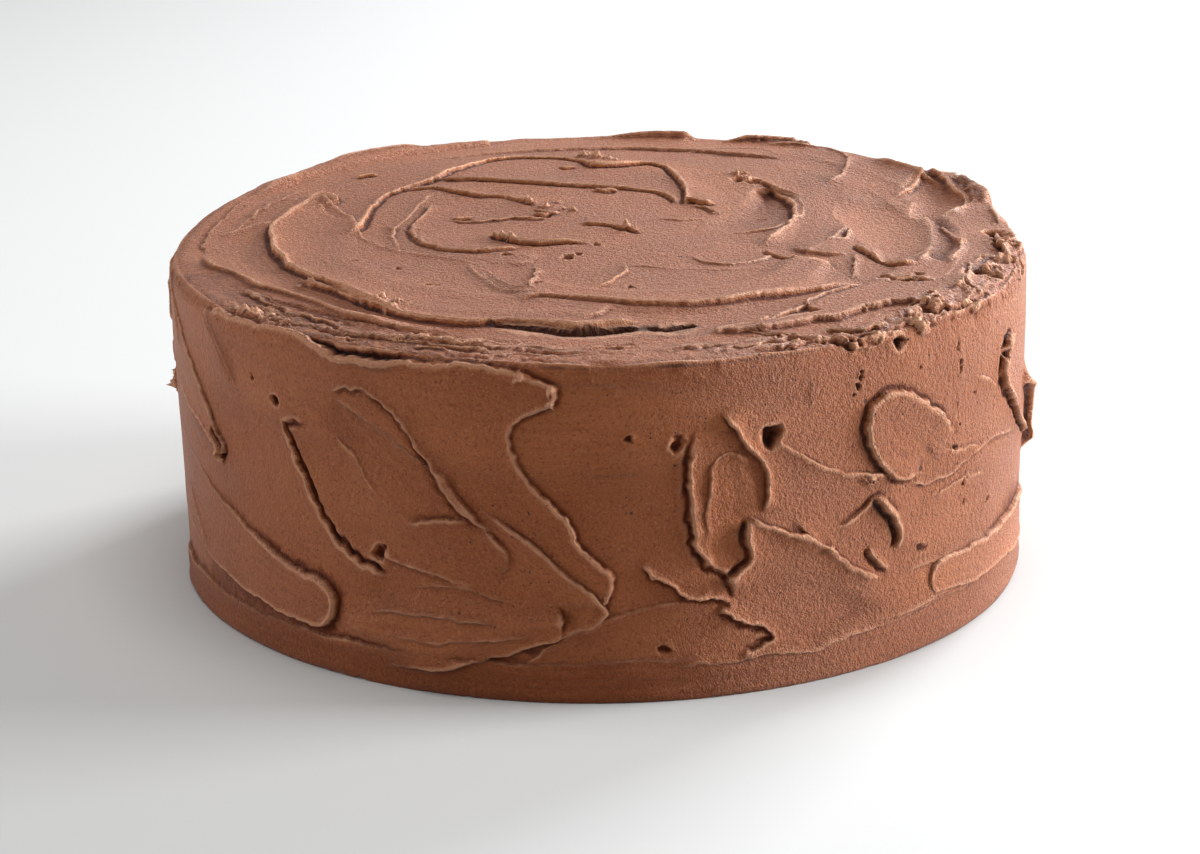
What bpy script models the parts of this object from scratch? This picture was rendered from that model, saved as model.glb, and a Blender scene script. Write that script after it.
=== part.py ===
"""A whole round chocolate cake, frosted all over with knife-spread buttercream.

The plain cake is a drum with a rounded rim and a slightly domed top. The frosting's relief is laid on
it stroke by stroke, as a palette knife does: each stroke levels the frosting under it and pushes up a
ridge along its edges and a lip at its end, and a later stroke covers an earlier one.

Lengths inside this script are millimetres, and the mesh is made in metres. The cake stands on z = 0,
with its axis on the Z axis. Angles round the side are degrees, 0 at the front (-Y), 90 at +X.
"""

import math
from dataclasses import dataclass

import bpy
import numpy as np

MM = 0.001

# Driving dimensions
CAKE_RADIUS = 104.3
RIM_HEIGHT = 78.0
RIM_ROUNDING = 3.5
DOME_RISE = 3.5
BACK_RISE = 4.4
BASE_TUCK = 0.5
BASE_TUCK_HEIGHT = 3.0

# The top is a square grid of cells drawn out to a disc, so that no point gathers many faces
TOP_CELLS = 150
TRIANGLE_LIMIT = 11400

# Points this low are put back on the ground after thinning
FOOT_SNAP = 0.25

# How far a step in the frosting takes to rise
WALL = 0.55

# The noise repeats after this many cells
NOISE_CELLS = 48

TOP_RADIUS = CAKE_RADIUS - RIM_ROUNDING
SIDE_HEIGHT = RIM_HEIGHT - RIM_ROUNDING
RIM_ARC = RIM_ROUNDING * math.pi / 2


def eased(share):
    """Smooth step from 0 to 1."""
    share = np.clip(share, 0.0, 1.0)
    return share * share * (3.0 - 2.0 * share)


def noise(points, size, seed):
    """Smooth noise from -1 to 1, with bumps of about the given size in millimetres."""
    lattice = np.random.default_rng(seed).uniform(-1, 1, (NOISE_CELLS,) * 3)
    scaled = points / size
    cell = np.floor(scaled).astype(np.int64)
    within = eased(scaled - cell)
    total = np.zeros(len(points))
    for corner in np.ndindex(2, 2, 2):
        weight = np.prod(np.where(corner, within, 1.0 - within), axis=1)
        i, j, k = ((cell + corner) % NOISE_CELLS).T
        total += weight * lattice[i, j, k]
    return total


def smooth_path(points, count):
    """Points along a Catmull-Rom curve through the given ones."""
    points = np.array(points, float)
    if len(points) == 2:
        return points[0] + np.linspace(0, 1, count)[:, None] * (points[1] - points[0])
    ends = [2 * points[0] - points[1], *points, 2 * points[-1] - points[-2]]
    places = np.linspace(0, len(points) - 1 - 1e-9, count)
    curve = []
    for place in places:
        i = int(place)
        t = place - i
        p0, p1, p2, p3 = ends[i : i + 4]
        curve.append(
            0.5 * (2 * p1 + (p2 - p0) * t + (2 * p0 - 5 * p1 + 4 * p2 - p3) * t**2
                   + (3 * p1 - p0 - 3 * p2 + p3) * t**3)
        )
    return np.array(curve)


def swirl(centre, radius, angles, count=9):
    """An arc on the top, as path points: radius and angles are (start, end), and the radius may change."""
    turned = np.radians(np.linspace(angles[0], angles[1], count))
    reach = np.linspace(radius[0], radius[1], count)
    return tuple(
        (centre[0] + r * math.sin(a), centre[1] - r * math.cos(a)) for r, a in zip(reach, turned)
    )


@dataclass
class Stroke:
    """One pass of the knife: a strip of frosting with a round end. Left and right are as seen along it."""

    path: tuple  # (degrees round, mm up) on the side, (x, y) in mm on the top
    width: tuple  # full width along the path, mm
    level: tuple = (0.0, 0.0)  # height over the plain cake, at the start and at the end, mm
    tilt: float = 0.0  # how much higher the left edge is than the right, mm
    dish: float = 0.0  # how far the middle lies under the edges, mm
    ridge: tuple = (0.5, 0.5, 0.8)  # ridge at the left, right and end, mm
    fade: tuple = (10.0, 0.0, 0.0)  # length over which the start, left and right fade in, mm
    ragged: float = 0.6  # how far the outline wanders, mm
    streaks: float = 0.06  # depth of the marks along the stroke, mm
    lean: float = 0.4  # how far its ridges hang over, as a share of their height


@dataclass
class Edge:
    """The visible edge of a broad pass: the frosting steps up here and slopes away behind the edge."""

    path: tuple
    reach: float  # how far the raised frosting runs back from the edge, mm: to the left, or right if negative
    rise: float = 1.0  # height of the step, mm
    ridge: float = 0.4  # ridge along the edge, mm
    slope: float = 0.35  # share of the step that is a slope in front of the edge
    hollow: float = 0.0  # depth of the groove at the foot of the step, mm
    ends: tuple = (6.0, 6.0)  # length over which the edge rises from nothing at its start and end, mm
    ragged: float = 0.6
    streaks: float = 0.0
    lean: float = 0.5
    clears: float = 0.8  # share of the finer relief that the pass wipes away
    crown: float = 0.5  # share of the step that is a narrow roll along the edge
    roll: float = 2.6  # width of that roll, mm


class Frosting:
    """The relief over every point of the cake's surface."""

    def __init__(self, angle, reach):
        """angle is round the axis in radians, reach is the way from the axis over the surface in mm."""
        self.angle, self.reach = angle, reach
        self.base, self.normal, self.down = plain_surface(angle, reach)
        self.around = np.stack([np.cos(angle), np.sin(angle), np.zeros_like(angle)], 1)
        self.bulk = np.zeros(len(angle))
        self.detail = np.zeros(len(angle))
        self.slip = np.zeros((len(angle), 2))  # (around, outward or down)
        self.top = np.stack([reach * np.sin(angle), -reach * np.cos(angle)], 1)
        self.side = np.stack([CAKE_RADIUS * angle, SIDE_HEIGHT + TOP_RADIUS + RIM_ARC - reach], 1)
        self.wander = np.stack(
            [
                noise(self.base, 9.0, 1) + 0.6 * noise(self.base, 3.0, 2) + 0.5 * noise(self.base, 1.3, 7),
                noise(self.base, 9.0, 3) + 0.6 * noise(self.base, 3.0, 4) + 0.5 * noise(self.base, 1.3, 8),
            ],
            1,
        )
        self.patchy = 0.5 + 0.5 * noise(self.base, 7.0, 5)
        self.crumbly = 0.5 + 0.5 * noise(self.base, 2.2, 6)
        self.passes = 0

    def nearby(self, path, margin, side, ragged):
        """The points within the margin of a path, and where each lies on the chart of the side or the top."""
        chart = self.side if side else self.top
        low, high = path.min(0) - margin, path.max(0) + margin
        middle, half = (low + high) / 2, (high - low) / 2
        across, up = chart[:, 0] - middle[0], chart[:, 1] - middle[1]
        if side:
            turn = 2 * math.pi * CAKE_RADIUS
            across = (across + turn / 2) % turn - turn / 2
        index = np.nonzero((np.abs(across) < half[0]) & (np.abs(up) < half[1]))[0]
        return index, middle + np.stack([across[index], up[index]], 1) + ragged * self.wander[index]

    def lay(self, what, side):
        """Adds one pass of the knife."""
        self.passes += 1
        points = np.array(what.path, float)
        if side:
            points[:, 0] = np.radians(points[:, 0]) * CAKE_RADIUS
        path = smooth_path(points, 8 * len(points))
        length = np.linalg.norm(np.diff(path, axis=0), axis=1).sum()
        if isinstance(what, Stroke):
            self.lay_stroke(what, path, length, side)
        else:
            self.lay_edge(what, path, length, side)

    def lay_stroke(self, stroke, path, length, side):
        width = np.array(stroke.width, float) / 2
        index, place = self.nearby(path, width.max() + 6, side, stroke.ragged)
        share, offset, gap, outward, past = nearest(path, place)
        half = np.interp(share, np.linspace(0, 1, len(width)), width)
        inside = half - gap
        start_fade, left_fade, right_fade = stroke.fade
        felt = eased(share * length / start_fade) if start_fade else np.ones(len(index))
        if left_fade:
            felt *= eased((half - offset) / left_fade)
        if right_fade:
            felt *= eased((half + offset) / right_fade)
        cover = felt * eased((inside + WALL / 2) / WALL)
        across = np.clip(offset / np.maximum(half, 0.1), -1, 1)
        level = stroke.level[0] + (stroke.level[1] - stroke.level[0]) * share
        level = level + 0.5 * stroke.tilt * across - stroke.dish * (1 - across**2)
        self.bulk[index] += cover * (level - self.bulk[index])
        self.clear(index, cover, stroke.streaks * streaks(offset, self.passes))

        at_end = eased(past)
        left, right = (offset > 0) * (1 - at_end), (offset <= 0) * (1 - at_end)
        ridge = stroke.ridge[0] * left + stroke.ridge[1] * right + stroke.ridge[2] * at_end
        ridge *= eased(share * length / max(start_fade, 2.0))
        self.push_ridge(index, inside, ridge, stroke.lean, outward, side)

    def lay_edge(self, edge, path, length, side):
        sign, width = math.copysign(1.0, edge.reach), abs(edge.reach)
        index, place = self.nearby(path, width + 4, side, edge.ragged)
        share, offset, gap, outward, past = nearest(path, place)
        along, depth, away, _, _ = nearest(softened(path, length), place)
        inside, depth = sign * offset, sign * depth
        beyond = np.sqrt(np.maximum(away**2 - depth**2, 0))
        felt = eased(along * length / edge.ends[0]) * eased((1 - along) * length / edge.ends[1])
        felt *= eased(1 - beyond / 4)
        back = 1 - np.clip(depth / width, 0, 1)
        roll = back * np.exp(-np.maximum(depth, 0) / edge.roll)
        body = felt * ((1 - edge.crown) * back**2 + edge.crown * roll)
        wall = WALL + 0.55 * edge.rise
        sharp = eased((inside + wall / 2) / wall)
        cover = body * sharp
        foot = edge.slope * felt * (1 - sharp) * np.exp(np.minimum(inside, 0) / 3.0)
        groove = edge.hollow * felt * (0.6 + 0.6 * self.crumbly[index])
        groove *= np.exp(-(((inside + 0.9) / 0.65) ** 2))
        self.bulk[index] += edge.rise * (cover + foot) - groove
        marks = edge.streaks * streaks(inside, self.passes) * np.exp(-((inside / 7) ** 2))
        self.clear(index, edge.clears * cover, marks)
        self.push_ridge(index, inside, edge.ridge * felt, edge.lean, out_of(inside, outward), side)

    def clear(self, index, cover, marks):
        self.detail[index] += cover * (marks - self.detail[index])
        self.slip[index] *= (1 - cover)[:, None]

    def push_ridge(self, index, inside, ridge, lean, outward, side):
        """The ridge that the knife pushes up along its edge, uneven as frosting is."""
        ridge = ridge * (0.45 + 0.8 * self.patchy[index]) * (0.9 + 0.2 * self.crumbly[index])
        inner, outer = 0.5 + 0.4 * ridge, 0.34 + 0.2 * ridge
        crest = ridge * np.exp(-((inside - 0.3) / np.where(inside > 0.3, inner, outer)) ** 2)
        self.detail[index] += crest
        hang = (lean * crest)[:, None] * outward
        if side:
            self.slip[index] += hang * np.array([1.0, -1.0])
        else:
            a = self.angle[index]
            self.slip[index, 0] += hang[:, 0] * np.cos(a) + hang[:, 1] * np.sin(a)
            self.slip[index, 1] += hang[:, 0] * np.sin(a) - hang[:, 1] * np.cos(a)

    def points(self):
        """The frosted surface."""
        slip = self.slip[:, :1] * self.around + self.slip[:, 1:] * self.down
        slip *= eased(self.base[:, 2:] / 5)
        return self.base + self.normal * (self.bulk + self.detail)[:, None] + slip


def out_of(inside, outward):
    """The unit vectors that point out of the raised frosting."""
    return np.where(inside > 0, -1.0, 1.0)[:, None] * outward


def streaks(offset, seed):
    """Fine marks that run along a stroke, from -1 to 1."""
    table = np.random.default_rng(seed).uniform(-1, 1, 512)
    coarse = np.interp(offset / 2.6 % 255, np.arange(256), table[:256])
    fine = np.interp(offset / 1.1 % 255, np.arange(256), table[256:])
    return 0.6 * coarse + 0.4 * fine


def softened(path, length):
    """The path without its small bends, so that the frosting behind a ragged edge slopes evenly."""
    spacing = length / (len(path) - 1)
    reach = min(0.18 * length, 12.0) / spacing
    span = int(3 * reach) + 1
    before = 2 * path[0] - path[span:0:-1] if span < len(path) else path[:0]
    after = 2 * path[-1] - path[-2 : -span - 2 : -1] if span < len(path) else path[:0]
    if not len(before):
        return path
    long = np.concatenate([before, path, after])
    weights = np.exp(-0.5 * (np.arange(-span, span + 1) / reach) ** 2)
    weights /= weights.sum()
    return np.stack([np.convolve(long[:, axis], weights, "valid") for axis in (0, 1)], 1)


def nearest(path, places):
    """For each place: the share along the path, the offset to its left, the distance, the unit vector
    away from the path, and how squarely it lies past the path's end."""
    steps = np.diff(path, axis=0)
    lengths = np.linalg.norm(steps, axis=1)
    before = np.concatenate([[0.0], np.cumsum(lengths)])
    closest = np.argmin((path**2).sum(1) - 2 * places @ path.T, axis=1)
    found = None
    for first in (np.maximum(closest - 1, 0), np.minimum(closest, len(steps) - 1)):
        step, length = steps[first], lengths[first]
        t = np.clip(((places - path[first]) * step).sum(1) / length**2, 0, 1)
        away = places - path[first] - t[:, None] * step
        gap = np.linalg.norm(away, axis=1)
        share = (before[first] + t * length) / before[-1]
        here = np.stack([gap, share, *away.T, *(step / length[:, None]).T])
        found = here if found is None else np.where(gap < found[0], here, found)
    gap, share, away, heading = found[0], found[1], found[2:4].T, found[4:6].T
    outward = away / np.maximum(gap, 1e-6)[:, None]
    offset = heading[:, 0] * away[:, 1] - heading[:, 1] * away[:, 0]
    past = np.where(share > 0.999, (outward * heading).sum(1), 0.0)
    return share, offset, gap, outward, past


def plain_surface(angle, reach):
    """Points, outward normals and downward directions of the cake before it is spread."""
    on_top = reach < TOP_RADIUS
    turned = np.clip((reach - TOP_RADIUS) / RIM_ROUNDING, 0, math.pi / 2)
    below = np.maximum(reach - TOP_RADIUS - RIM_ARC, 0)
    radius = np.where(on_top, reach, TOP_RADIUS + RIM_ROUNDING * np.sin(turned))
    height = RIM_HEIGHT - RIM_ROUNDING * (1 - np.cos(turned)) - below
    height += DOME_RISE * np.maximum(1 - (radius / TOP_RADIUS) ** 2, 0) ** 1.5
    radius -= BASE_TUCK * np.maximum(1 - height / BASE_TUCK_HEIGHT, 0) ** 2
    height *= 1 + BACK_RISE / RIM_HEIGHT * eased((-radius * np.cos(angle) + 5) / 80)
    away = np.stack([np.sin(angle), -np.cos(angle), np.zeros_like(angle)], 1)
    up = np.array([0.0, 0.0, 1.0])
    points = radius[:, None] * away + height[:, None] * up
    normal = np.sin(turned)[:, None] * away + np.cos(turned)[:, None] * up
    down = np.cos(turned)[:, None] * away - np.sin(turned)[:, None] * up
    return points, normal, down


def cake_grid(cells):
    """Angle and reach of every point of the surface, with its faces. The last ring is the foot."""
    line = np.linspace(-1, 1, cells + 1)
    a, b = (g.ravel() for g in np.meshgrid(line, line))
    wide = np.abs(a) > np.abs(b)
    with np.errstate(divide="ignore", invalid="ignore"):
        turned = np.where(wide, math.pi / 4 * b / a, math.pi / 2 - math.pi / 4 * a / b)
    turned = np.where((a == 0) & (b == 0), 0, turned) + np.where(np.where(wide, a, b) < 0, math.pi, 0)
    top_angle = (turned + math.pi) % (2 * math.pi) - math.pi
    top_reach = np.maximum(np.abs(a), np.abs(b)) * TOP_RADIUS
    n = cells + 1
    number = np.arange(n * n).reshape(n, n)
    faces = [np.stack([number[:-1, :-1], number[:-1, 1:], number[1:, 1:], number[1:, :-1]], 2).reshape(-1, 4)]
    loop = np.concatenate([number[0, :-1], number[:-1, -1], number[-1, :0:-1], number[:0:-1, 0]])

    cell = 2 * math.pi * TOP_RADIUS / len(loop)
    rim_rows = max(2, round(RIM_ARC / cell))
    side_rows = round(SIDE_HEIGHT / cell)
    reaches = np.concatenate([
        TOP_RADIUS + RIM_ARC * np.linspace(0, 1, rim_rows + 1)[1:],
        TOP_RADIUS + RIM_ARC + SIDE_HEIGHT * np.linspace(0, 1, side_rows + 1)[1:],
    ])
    angle = [top_angle]
    reach = [top_reach]
    upper = loop
    for row, distance in enumerate(reaches):
        lower = n * n + row * len(loop) + np.arange(len(loop))
        angle.append(top_angle[loop])
        reach.append(np.full(len(loop), distance))
        faces.append(np.stack([upper, lower, np.roll(lower, -1), np.roll(upper, -1)], 1))
        upper = lower
    return np.concatenate(angle), np.concatenate(reach), np.concatenate(faces), upper


# The side, from the left round the front to the right
SIDE_PASSES = (
    # the smooth upright pass round the front, and the band that the scraper left at the foot
    Stroke(
        ((-78, 66), (-55, 68), (-20, 62), (20, 62), (32, 62)), (26, 30, 30, 28, 2), (0.6, 0.0),
        ridge=(0, 0, 0), fade=(10, 6, 10),
    ),
    Stroke(
        ((-80, 4), (-30, 4), (20, 4), (80, 5)), (10, 9, 13, 16), (0.6, 0.5), ridge=(0.08, 0, 0),
        streaks=0.3,
    ),
    # the broad left facet, standing over the front
    Edge(
        ((-62, 76.5), (-52, 77.8), (-44, 78.6), (-39.5, 78.3), (-37, 76.6), (-34, 75.1), (-31.5, 74.7),
         (-26, 75.5), (-20, 76.2), (-14, 76.4), (-9.6, 75), (-5.4, 72), (-6.2, 68.5), (-10, 65),
         (-10.8, 59), (-8, 50), (-4, 42), (-3.2, 38), (-0.5, 33), (1.2, 29), (0, 22)), reach=-40, rise=1.3,
        ridge=0.45, hollow=0.15, ends=(16, 3), clears=0.5, crown=0.25, ragged=0.8,
    ),
    # the dark gap behind the facet's lip
    Edge(
        ((-42, 78), (-39, 77.6), (-37, 76.6), (-34, 75.2), (-31, 74.8), (-26, 75.6), (-21, 76.2)), reach=-3,
        rise=0.4, ridge=0.5, hollow=2.2, ends=(4, 12), clears=0.2, roll=1.5,
    ),
    # the leaf-shaped hollow in it
    Stroke(
        ((-36, 64), (-32, 57), (-25, 46), (-14, 33)), (8, 17, 20, 10), (0.0, 0.9), dish=0.4,
        ridge=(0.1, 0, 0), fade=(8, 0, 8),
    ),
    Edge(
        ((-34, 67), (-31, 68.5), (-27, 66.8), (-24.4, 61.7), (-20.7, 52.3), (-17, 44), (-12, 37.7)),
        reach=9, rise=0.45, ridge=0.34, hollow=0.5, ends=(4, 8), ragged=0.8,
    ),
    Edge(
        ((-38, 60), (-42, 58), (-42.5, 55), (-41, 50), (-39, 43), (-37.5, 37), (-35, 32), (-31, 28.5),
         (-27, 25)), reach=-22, rise=0.9, ridge=0.4, hollow=1.0, ends=(5, 5), clears=0.3, ragged=0.9,
    ),
    Edge(((-35, 58), (-31, 52), (-29, 46), (-26, 42)), reach=-7, rise=0.17, ridge=0.24),
    Edge(((-24, 39), (-21.5, 40.2), (-15, 42)), reach=-6, rise=0.26, ridge=0.36, hollow=0.39, ends=(3, 6)),
    # the pointed stroke that ends under the facet's corner
    Stroke(
        ((-36, 13), (-22, 15), (-8, 19)), (10, 22, 12), (0.9, 1.3), ridge=(0, 0, 0), fade=(10, 8, 6),
        streaks=0.22,
    ),
    Edge(
        ((-15, 45), (-9, 37.5), (-4.5, 31), (-0.5, 24), (0.4, 20.6), (-3, 17), (-8, 13.5), (-13, 10),
         (-20, 6.5), (-28, 4.5)), reach=-14, rise=0.7, ridge=0.5, ends=(10, 12), clears=0.3, crown=0.3,
    ),
    Edge(((-29, 33), (-27, 30), (-22, 28.5), (-14, 25)), reach=5, rise=0.21, ridge=0.32, hollow=0.26),
    Edge(((-25, 24), (-19, 25.5), (-9, 22.5)), reach=5, rise=0.17, ridge=0.24, hollow=0.16),
    Edge(((-30, 17), (-21, 18), (-12, 17.5)), reach=4, rise=0.17, ridge=0.24, hollow=0.13),
    Edge(((-27, 12), (-18, 13), (-8, 16)), reach=4, rise=0.17, ridge=0.24, hollow=0.13),
    # the smears and the lobe on the far left
    Stroke(
        ((-86, 70), (-75, 64), (-64, 54), (-56.5, 46)), (20, 18, 11, 4), (0.3, 1.3), ridge=(0.35, 0.3, 1.0),
        lean=0.9, ragged=1.2,
    ),
    Edge(
        ((-59, 49), (-56.2, 45.5), (-57, 41.8)), reach=-4, rise=0.9, ridge=1.0, hollow=0.6, ends=(2, 2),
        ragged=1.2, roll=1.6,
    ),
    Stroke(
        ((-80, 34), (-66, 27), (-52, 21), (-42, 17), (-38, 16.6)), (20, 21, 19, 15, 12), (0.0, 1.6),
        dish=0.2, ridge=(0.16, 0.08, 0.22), fade=(16, 0, 0),
    ),
    Edge(((-71, 30), (-66, 22), (-62, 16)), reach=9, rise=0.34, ridge=0.32),
    Stroke(((-83, 66), (-83.5, 58), (-83, 51)), (6, 9, 6), (-1.2, -1.0), ridge=(0, 0, 0), fade=(5, 3, 3)),
    Edge(
        ((-90, 77), (-87, 70), (-84, 62), (-82, 55)), reach=-5, rise=0.8, ridge=0.6, hollow=0.9,
        ends=(3, 6), ragged=1.2,
    ),
    Edge(((-74, 74), (-72.5, 68), (-71, 62)), reach=4, rise=0.3, ridge=0.3, hollow=0.6, ends=(3, 4)),
    Edge(((-60, 77), (-57, 73), (-51, 61)), reach=5, rise=0.3, ridge=0.24, hollow=0.33, ends=(3, 6)),
    # the dark smooth field at the lower right
    Stroke(
        ((8, 12), (20, 19), (30, 16), (37, 13)), (10, 28, 20, 4), (0.4, -1.6), ridge=(0, 0, 0),
        fade=(8, 8, 5),
    ),
    # the upright stroke beside the middle: a groove down its left, and an ear-shaped ridge round a hollow
    Edge(
        ((11.2, 63), (10.7, 57), (10.4, 50), (10.3, 44), (11.2, 35), (12.4, 31.6), (15.2, 27.8), (16, 22)),
        reach=14, rise=0.8, ridge=0.36, hollow=1.0, ends=(8, 3), ragged=0.8,
    ),
    Stroke(
        ((15.6, 27), (15.6, 36), (16, 46), (15.6, 52)), (6, 12, 13, 9), (0.2, 0.3), dish=0.6,
        ridge=(0.36, 0, 0.36), fade=(6, 0, 3),
    ),
    Edge(
        ((13.8, 65.5), (15.2, 62.7), (17, 58.6), (19.4, 52.4), (20.2, 47), (19.5, 42)), reach=9, rise=1.3,
        ridge=0.5, ends=(4, 3), crown=0.8, slope=0.1,
    ),
    # the right of the front: plates that hang from thick lips
    Edge(
        ((20.6, 58.6), (24.1, 53.7), (27.6, 50.4), (31.2, 47.9), (38, 45), (45, 42)), reach=-14, rise=0.7,
        ridge=0.44, ends=(3, 9),
    ),
    Edge(
        ((17.7, 41.2), (19.6, 38.9), (22.2, 37), (25.4, 35), (28.5, 30.6), (30.7, 26.6), (33, 23.8),
         (37, 21.2)), reach=-16, rise=1.1, ridge=0.7, ends=(3, 5), crown=0.6,
    ),
    Edge(((22.5, 40), (24.5, 37.4), (26.6, 33.7), (28.8, 30.4)), reach=6, rise=0.3, ridge=0.5),
    Edge(
        ((17.5, 41), (17.1, 36), (17.7, 31.4), (16, 28.4), (14.6, 25.8)), reach=10, rise=1.2, ridge=0.44,
        hollow=1.0, ends=(2, 3),
    ),
    # the upturned flap, and the ridge and lobe under it
    Edge(
        ((29, 35), (33, 38), (36, 40.6), (37.6, 38), (40, 33.6)), reach=-9, rise=0.5, ridge=0.4, hollow=0.3,
    ),
    Edge(
        ((35.2, 41), (36.6, 38), (38.4, 34), (39.2, 30), (38.6, 26.4)), reach=12, rise=1.7, ridge=0.8,
        hollow=1.2, ends=(3, 3),
    ),
    Edge(((34.4, 29.6), (35.2, 26), (38, 22)), reach=8, rise=0.8, ridge=0.5, hollow=0.8, ends=(2, 3)),
    Edge(((39, 21), (45, 21.2), (55, 20.5), (62, 19)), reach=10, rise=0.34, ridge=0.36),
    Stroke(((80, 16), (58, 15.5), (47, 16.8)), (11, 10, 8), (1.0, 1.6), dish=0.3, ridge=(0.32, 0.4, 0.48)),
    # the ear-shaped lobe
    Edge(
        ((50, 49.5), (45.3, 56.8), (41.5, 61.2), (38.6, 63.3), (36.2, 63.6), (34.2, 61.6), (33.7, 57.5),
         (34.4, 52.6), (36.3, 48), (39, 44.4), (43, 41.8)), reach=16, rise=1.5, ridge=0.4, hollow=0.6,
        ends=(8, 6), ragged=0.9, crown=0.3,
    ),
    # the jagged edge low on the right
    Edge(
        ((4.5, 32), (5.6, 29.2), (8.2, 27.4), (10.3, 24.2), (14, 23), (15.2, 20.6), (13.8, 19.2)), reach=10,
        rise=0.5, ridge=0.6, hollow=0.4, ragged=0.9, ends=(2, 2),
    ),
    Edge(
        ((13.5, 20), (16.5, 16.6), (20.2, 15.4), (21.3, 12.6), (19.7, 11), (17, 10)), reach=9, rise=0.6,
        ridge=0.44, hollow=0.8, ragged=1.0, ends=(2, 2),
    ),
    Edge(((11, 24), (5, 22), (0, 19.5), (-5, 15), (-10, 8)), reach=6, rise=0.17, ridge=0.24),
    Edge(((8, 8), (21, 8.6), (27, 7.8), (33, 9), (40, 10.2), (58, 10.8)), reach=9, rise=0.34, ridge=0.24),
    # the smear that stands out on the right
    Edge(
        ((67, 66), (63.5, 63.5), (62.6, 57), (65.1, 51), (69.7, 43.5), (77.5, 34)), reach=12, rise=1.3,
        ridge=0.5, hollow=1.3, lean=0.6, ends=(3, 6), ragged=1.3, crown=0.7,
    ),
    Edge(
        ((75, 50), (78.5, 46), (80.6, 41), (80.6, 36), (78, 31)), reach=7, rise=4.8, ridge=0.9, hollow=0.6,
        ends=(4, 4), ragged=0.8, crown=0.6, roll=2.6, slope=0.1,
    ),
    Edge(((54.2, 60.9), (57, 59.6), (60.9, 55.5)), reach=-6, rise=0.5, ridge=0.4, ends=(4, 3)),
    Edge(
        ((41.5, 41), (46, 39.6), (53, 41.5), (60, 43), (68, 41)), reach=8, rise=0.4, ridge=0.35, hollow=0.3,
        ends=(3, 6),
    ),
    Edge(((44, 36), (52, 38), (58, 35)), reach=-6, rise=0.21, ridge=0.28, ragged=1.2),
    Edge(((47, 47), (53, 43), (60, 42)), reach=-6, rise=0.21, ridge=0.28, ragged=1.2),
    Edge(((25.5, 74), (26.5, 68), (26, 60)), reach=5, rise=0.1, ridge=0.2, ragged=1.4),
)

# The deep slots under the front of the large crescent
SLOTS = (
    Stroke(
        ((-24, -77.5), (-14, -80.6), (-6.5, -83.4), (0, -82.8), (6.5, -81)), (1.2, 2.8, 3.8, 3.8, 3.2),
        (-4.2, -5.0), ridge=(0, 0.3, 0), fade=(4, 0, 0), ragged=0.5,
    ),
    Stroke(
        ((9.5, -80), (14, -81.4), (20, -78.6)), (1.6, 2.8, 1.6), (-2.2, -2.8), ridge=(0, 0.3, 0),
        fade=(2, 0, 0),
    ),
)

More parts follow.
